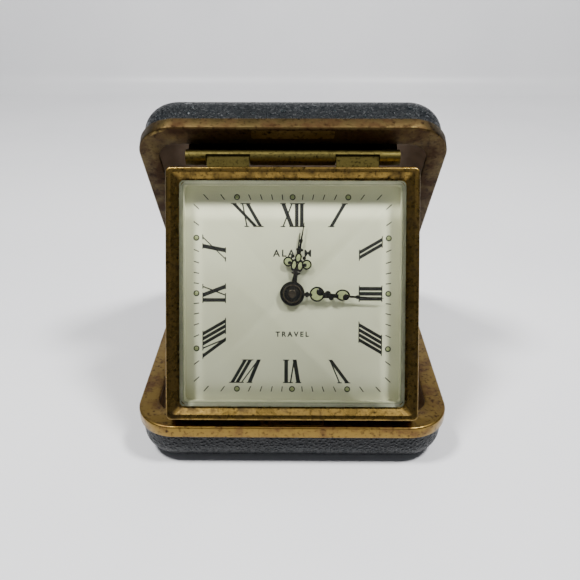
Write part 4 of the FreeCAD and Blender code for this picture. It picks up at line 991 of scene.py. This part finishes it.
class TRAVELCLOCK_OT_hands(bpy.types.Operator):
    """Shape the three ornate hands and fill them with luminous paint"""
    bl_idname = "travel_clock.hands"
    bl_label = "Hands"

    def execute(self, context):
        size = context.scene.clock_sizes
        self.minute_hand(size)
        self.hour_hand(size)
        self.alarm_hand(size)
        return {"FINISHED"}

    def finish_hand(self, name, metal, fills, turn, body, node):
        """Joins the metal into one piece and the paint into another, and turns both to the time."""
        matrix = FACE @ Matrix.Rotation(-turn, 4, "Z")
        hand = join(name, metal)
        settle(hand, matrix, body, finish("Black lacquer"), (node,))
        if fills:
            paint = join(name + "_paint", fills)
            settle(paint, matrix, body, finish("Luminous paint"))

    def boss(self, radius, z, height, steps):
        """Round boss turned with raised rings."""
        parts = [cylinder("boss", radius, z - height / 2, z + height / 2)]
        soften(parts[0], 0.3 * height, 3)
        for share in steps:
            parts.append(loop_wire("boss_ring", (0, 0), radius * share, 0.2 * MM, z + height / 2))
        return parts

    def hub_cap(self, z):
        """Burnished ring and dished cap in the middle of the minute hand."""
        top = z + 0.42 * MM
        ring = loop_wire("hub_ring", (0, 0), 2.15 * MM, 0.16 * MM, z + 0.22 * MM)
        cap = cylinder("hub_cap", 1.0 * MM, z, top)
        soften(cap, 0.12 * MM, 4)
        pick(cap, "FACE", lies_at(top))
        bpy.ops.mesh.inset(thickness=0.3 * MM)
        bpy.ops.transform.translate(value=(0, 0, -0.1 * MM))
        leave()
        return join("minute_hand_hub", [ring, cap])

    def minute_hand(self, size):
        z = -size.minute_level
        paint = z - PAINT_DROP
        metal = self.boss(2.35 * MM, z, 0.34 * MM, (0.7,))
        hub = self.hub_cap(z)
        settle(hub, FACE, "minute_train", finish("Burnished steel"))
        metal += [bar("stem", 2.0 * MM, 5.0 * MM, 0.75 * MM, 0.65 * MM, z, HAND_SHEET),
                  bead("knot", (0, 3.7 * MM), 0.72 * MM, z, 0.16 * MM, 0.8),
                  loop_wire("crescent", (-0.2 * MM, 6.2 * MM), 1.72 * MM, 0.2 * MM, z),
                  bead("crescent_eye", (-0.75 * MM, 6.9 * MM), 1.0 * MM, z, 0.15 * MM),
                  bar("neck", 7.6 * MM, 11.6 * MM, 1.5 * MM, 0.9 * MM, z, HAND_SHEET),
                  bead("leaf_left", (-0.7 * MM, 8.9 * MM), 0.5 * MM, z, 0.14 * MM, 1.5),
                  bead("leaf_right", (0.7 * MM, 9.8 * MM), 0.45 * MM, z, 0.14 * MM, 1.4),
                  loop_wire("second_eye", (-0.3 * MM, 12.6 * MM), 1.25 * MM, 0.19 * MM, z, 1.3),
                  bead("second_spot", (0.16 * MM, 13.4 * MM), 0.82 * MM, z, 0.15 * MM),
                  bar("blade", 14.4 * MM, 22.9 * MM, 0.62 * MM, 0.14 * MM, z, HAND_SHEET),
                  bead("node", (0, 16.4 * MM), 0.5 * MM, z, 0.15 * MM, 1.3)]
        fills = [bead("fill_one", (-0.2 * MM, 6.2 * MM), 1.66 * MM, paint, 0.1 * MM),
                 bead("fill_two", (-0.3 * MM, 12.6 * MM), 1.17 * MM, paint, 0.1 * MM, 1.3)]
        self.finish_hand("ornate_minute_hand", metal, fills, size.minute_turn, "minute_train",
                         "minute_hand")

    def hour_hand(self, size):
        z = -size.hour_level
        paint = z - PAINT_DROP
        metal = self.boss(3.1 * MM, z, 0.4 * MM, (0.94,))
        metal += [bar("stem", 2.8 * MM, 6.4 * MM, 1.35 * MM, 0.8 * MM, z, HAND_SHEET),
                  bead("collar", (0, 5.25 * MM), 1.15 * MM, z, 0.16 * MM, 0.38)]
        fills = []
        for side in (-1, 1):
            lobe = (side * 2.35 * MM, 7.8 * MM)
            petal = (side * 0.78 * MM, 7.2 * MM)
            metal += [loop_wire("lobe", lobe, 1.08 * MM, 0.19 * MM, z),
                      bead("lobe_eye", (side * 1.95 * MM, 7.6 * MM), 0.5 * MM, z, 0.15 * MM),
                      loop_wire("petal", petal, 0.62 * MM, 0.17 * MM, z, 2.0),
                      bead("tendril", (side * 1.5 * MM, 9.3 * MM), 0.42 * MM, z, 0.14 * MM, 1.2)]
            fills += [bead("lobe_fill", lobe, 1.0 * MM, paint, 0.09 * MM),
                      bead("petal_fill", petal, 0.56 * MM, paint, 0.09 * MM, 2.0)]
        metal.append(loop_wire("crown", (0, 9.15 * MM), 0.66 * MM, 0.17 * MM, z, 1.7))
        fills.append(bead("crown_fill", (0, 9.15 * MM), 0.6 * MM, paint, 0.09 * MM, 1.7))
        metal += [bead("upper_collar", (0, 11.2 * MM), 0.95 * MM, z, 0.16 * MM, 0.5),
                  bar("blade", 10.0 * MM, 18.1 * MM, 0.75 * MM, 0.16 * MM, z, HAND_SHEET),
                  bead("blade_node", (0, 13.4 * MM), 0.42 * MM, z, 0.15 * MM, 1.6)]
        self.finish_hand("ornate_hour_hand", metal, fills, size.hour_turn, "hour_train", "hour_hand")

    def alarm_hand(self, size):
        z = -size.alarm_level
        metal = self.boss(2.7 * MM, z, 0.2 * MM, (0.85,))
        metal.append(bar("blade", 2.2 * MM, 15.4 * MM, 0.7 * MM, 0.22 * MM, z, 0.18 * MM))
        self.finish_hand("slim_alarm_hand", metal, [], size.alarm_turn, "alarm_train", "alarm_hand")


class TRAVELCLOCK_OT_stage(bpy.types.Operator):
    """Set the floor, the backdrop, the soft lights and the camera"""
    bl_idname = "travel_clock.stage"
    bl_label = "Stage"

    def execute(self, context):
        self.floor(context.scene.clock_colours)
        self.light("left_softbox", at=(-0.22, -0.12, 0.56), side=0.10, power=4.4)
        self.light("right_softbox", at=(0.24, -0.12, 0.56), side=0.10, power=4.9)
        self.light("front_fill", at=(0.0, -0.75, 0.60), side=0.5, power=0.25)
        self.world(context.scene)
        self.camera(context.scene)
        return {"FINISHED"}

    def floor(self, tones):
        """Pale floor that turns up into a backdrop behind the clock."""
        width, front, back, near = 3.0, 2.0, 0.44, 0.01
        rise, bend = (0, 0.05, 1.2), 0.02
        deselect()
        bpy.ops.mesh.primitive_plane_add(size=1, location=(0, (back - front) / 2, 0))
        bpy.context.object.scale = (width, back + front, 1)
        floor = take("floor")
        pick(floor, "EDGE", lambda edge: all(vert.co.y > back - near for vert in edge.verts))
        bpy.ops.mesh.extrude_region_move(TRANSFORM_OT_translate={"value": rise})
        leave()
        bevel(floor, lambda edge: all(abs(vert.co.z) < SAME_PLACE and abs(vert.co.y - back) < near
                                      for vert in edge.verts), bend, 6)
        smooth(floor, 60)
        floor.data.materials.append(lacquer("Pale floor", tones.floor, stain=(0.74, 0.74, 0.76),
                                            rough=0.35, grain=9, relief=0.05))

    def light(self, name, at, side, power):
        """Square soft light that looks at the middle of the clock."""
        bpy.ops.object.light_add(type="AREA", location=at)
        lamp = bpy.context.object
        lamp.name = name
        lamp.data.size = side
        lamp.data.energy = power
        target = (HINGE + PIVOT) / 2
        lamp.rotation_euler = (target - lamp.location).to_track_quat("-Z", "Y").to_euler()

    def world(self, scene):
        world = bpy.data.worlds.new("Soft room")
        world.use_nodes = True
        sky = world.node_tree.nodes["Background"]
        sky.label = "Even room light"
        sky.inputs["Color"].default_value = (0.86, 0.90, 1.0, 1)
        sky.inputs["Strength"].default_value = 0.11
        scene.world = world

    def camera(self, scene):
        """Camera in front of the clock and a little above it."""
        at = (0.0004, -0.1573, 0.1169)
        down, aside = 28.75, 0.41
        bpy.ops.object.camera_add(location=at,
                                  rotation=(math.radians(90 - down), 0, math.radians(aside)))
        camera = bpy.context.object
        camera.name = "camera"
        camera.data.lens = 38.5
        camera.data.sensor_width = 36
        camera.data.clip_start = 0.005
        scene.camera = camera


STEPS = (TRAVELCLOCK_OT_finishes, TRAVELCLOCK_OT_covers, TRAVELCLOCK_OT_rims, TRAVELCLOCK_OT_bezel,
         TRAVELCLOCK_OT_dial, TRAVELCLOCK_OT_hands, TRAVELCLOCK_OT_stage)


class TRAVELCLOCK_PT_panel(bpy.types.Panel):
    """Steps that finish the travel clock"""
    bl_label = "Travel Clock"
    bl_idname = "TRAVELCLOCK_PT_panel"
    bl_space_type = "VIEW_3D"
    bl_region_type = "UI"
    bl_category = "Travel Clock"

    def draw(self, context):
        for step in STEPS:
            self.layout.operator(step.bl_idname)


CLASSES = (ClockSizes, ClockColours) + STEPS + (TRAVELCLOCK_PT_panel,)


def register():
    for kind in CLASSES:
        bpy.utils.register_class(kind)
    bpy.types.Scene.clock_sizes = bpy.props.PointerProperty(type=ClockSizes)
    bpy.types.Scene.clock_colours = bpy.props.PointerProperty(type=ClockColours)


def unregister():
    del bpy.types.Scene.clock_colours
    del bpy.types.Scene.clock_sizes
    for kind in reversed(CLASSES):
        bpy.utils.unregister_class(kind)


def main():
    register()
    bpy.ops.travel_clock.finishes()
    bpy.ops.travel_clock.covers()
    bpy.ops.travel_clock.rims()
    bpy.ops.travel_clock.bezel()
    bpy.ops.travel_clock.dial()
    bpy.ops.travel_clock.hands()
    bpy.ops.travel_clock.stage()


if __name__ == "__main__":
    main()
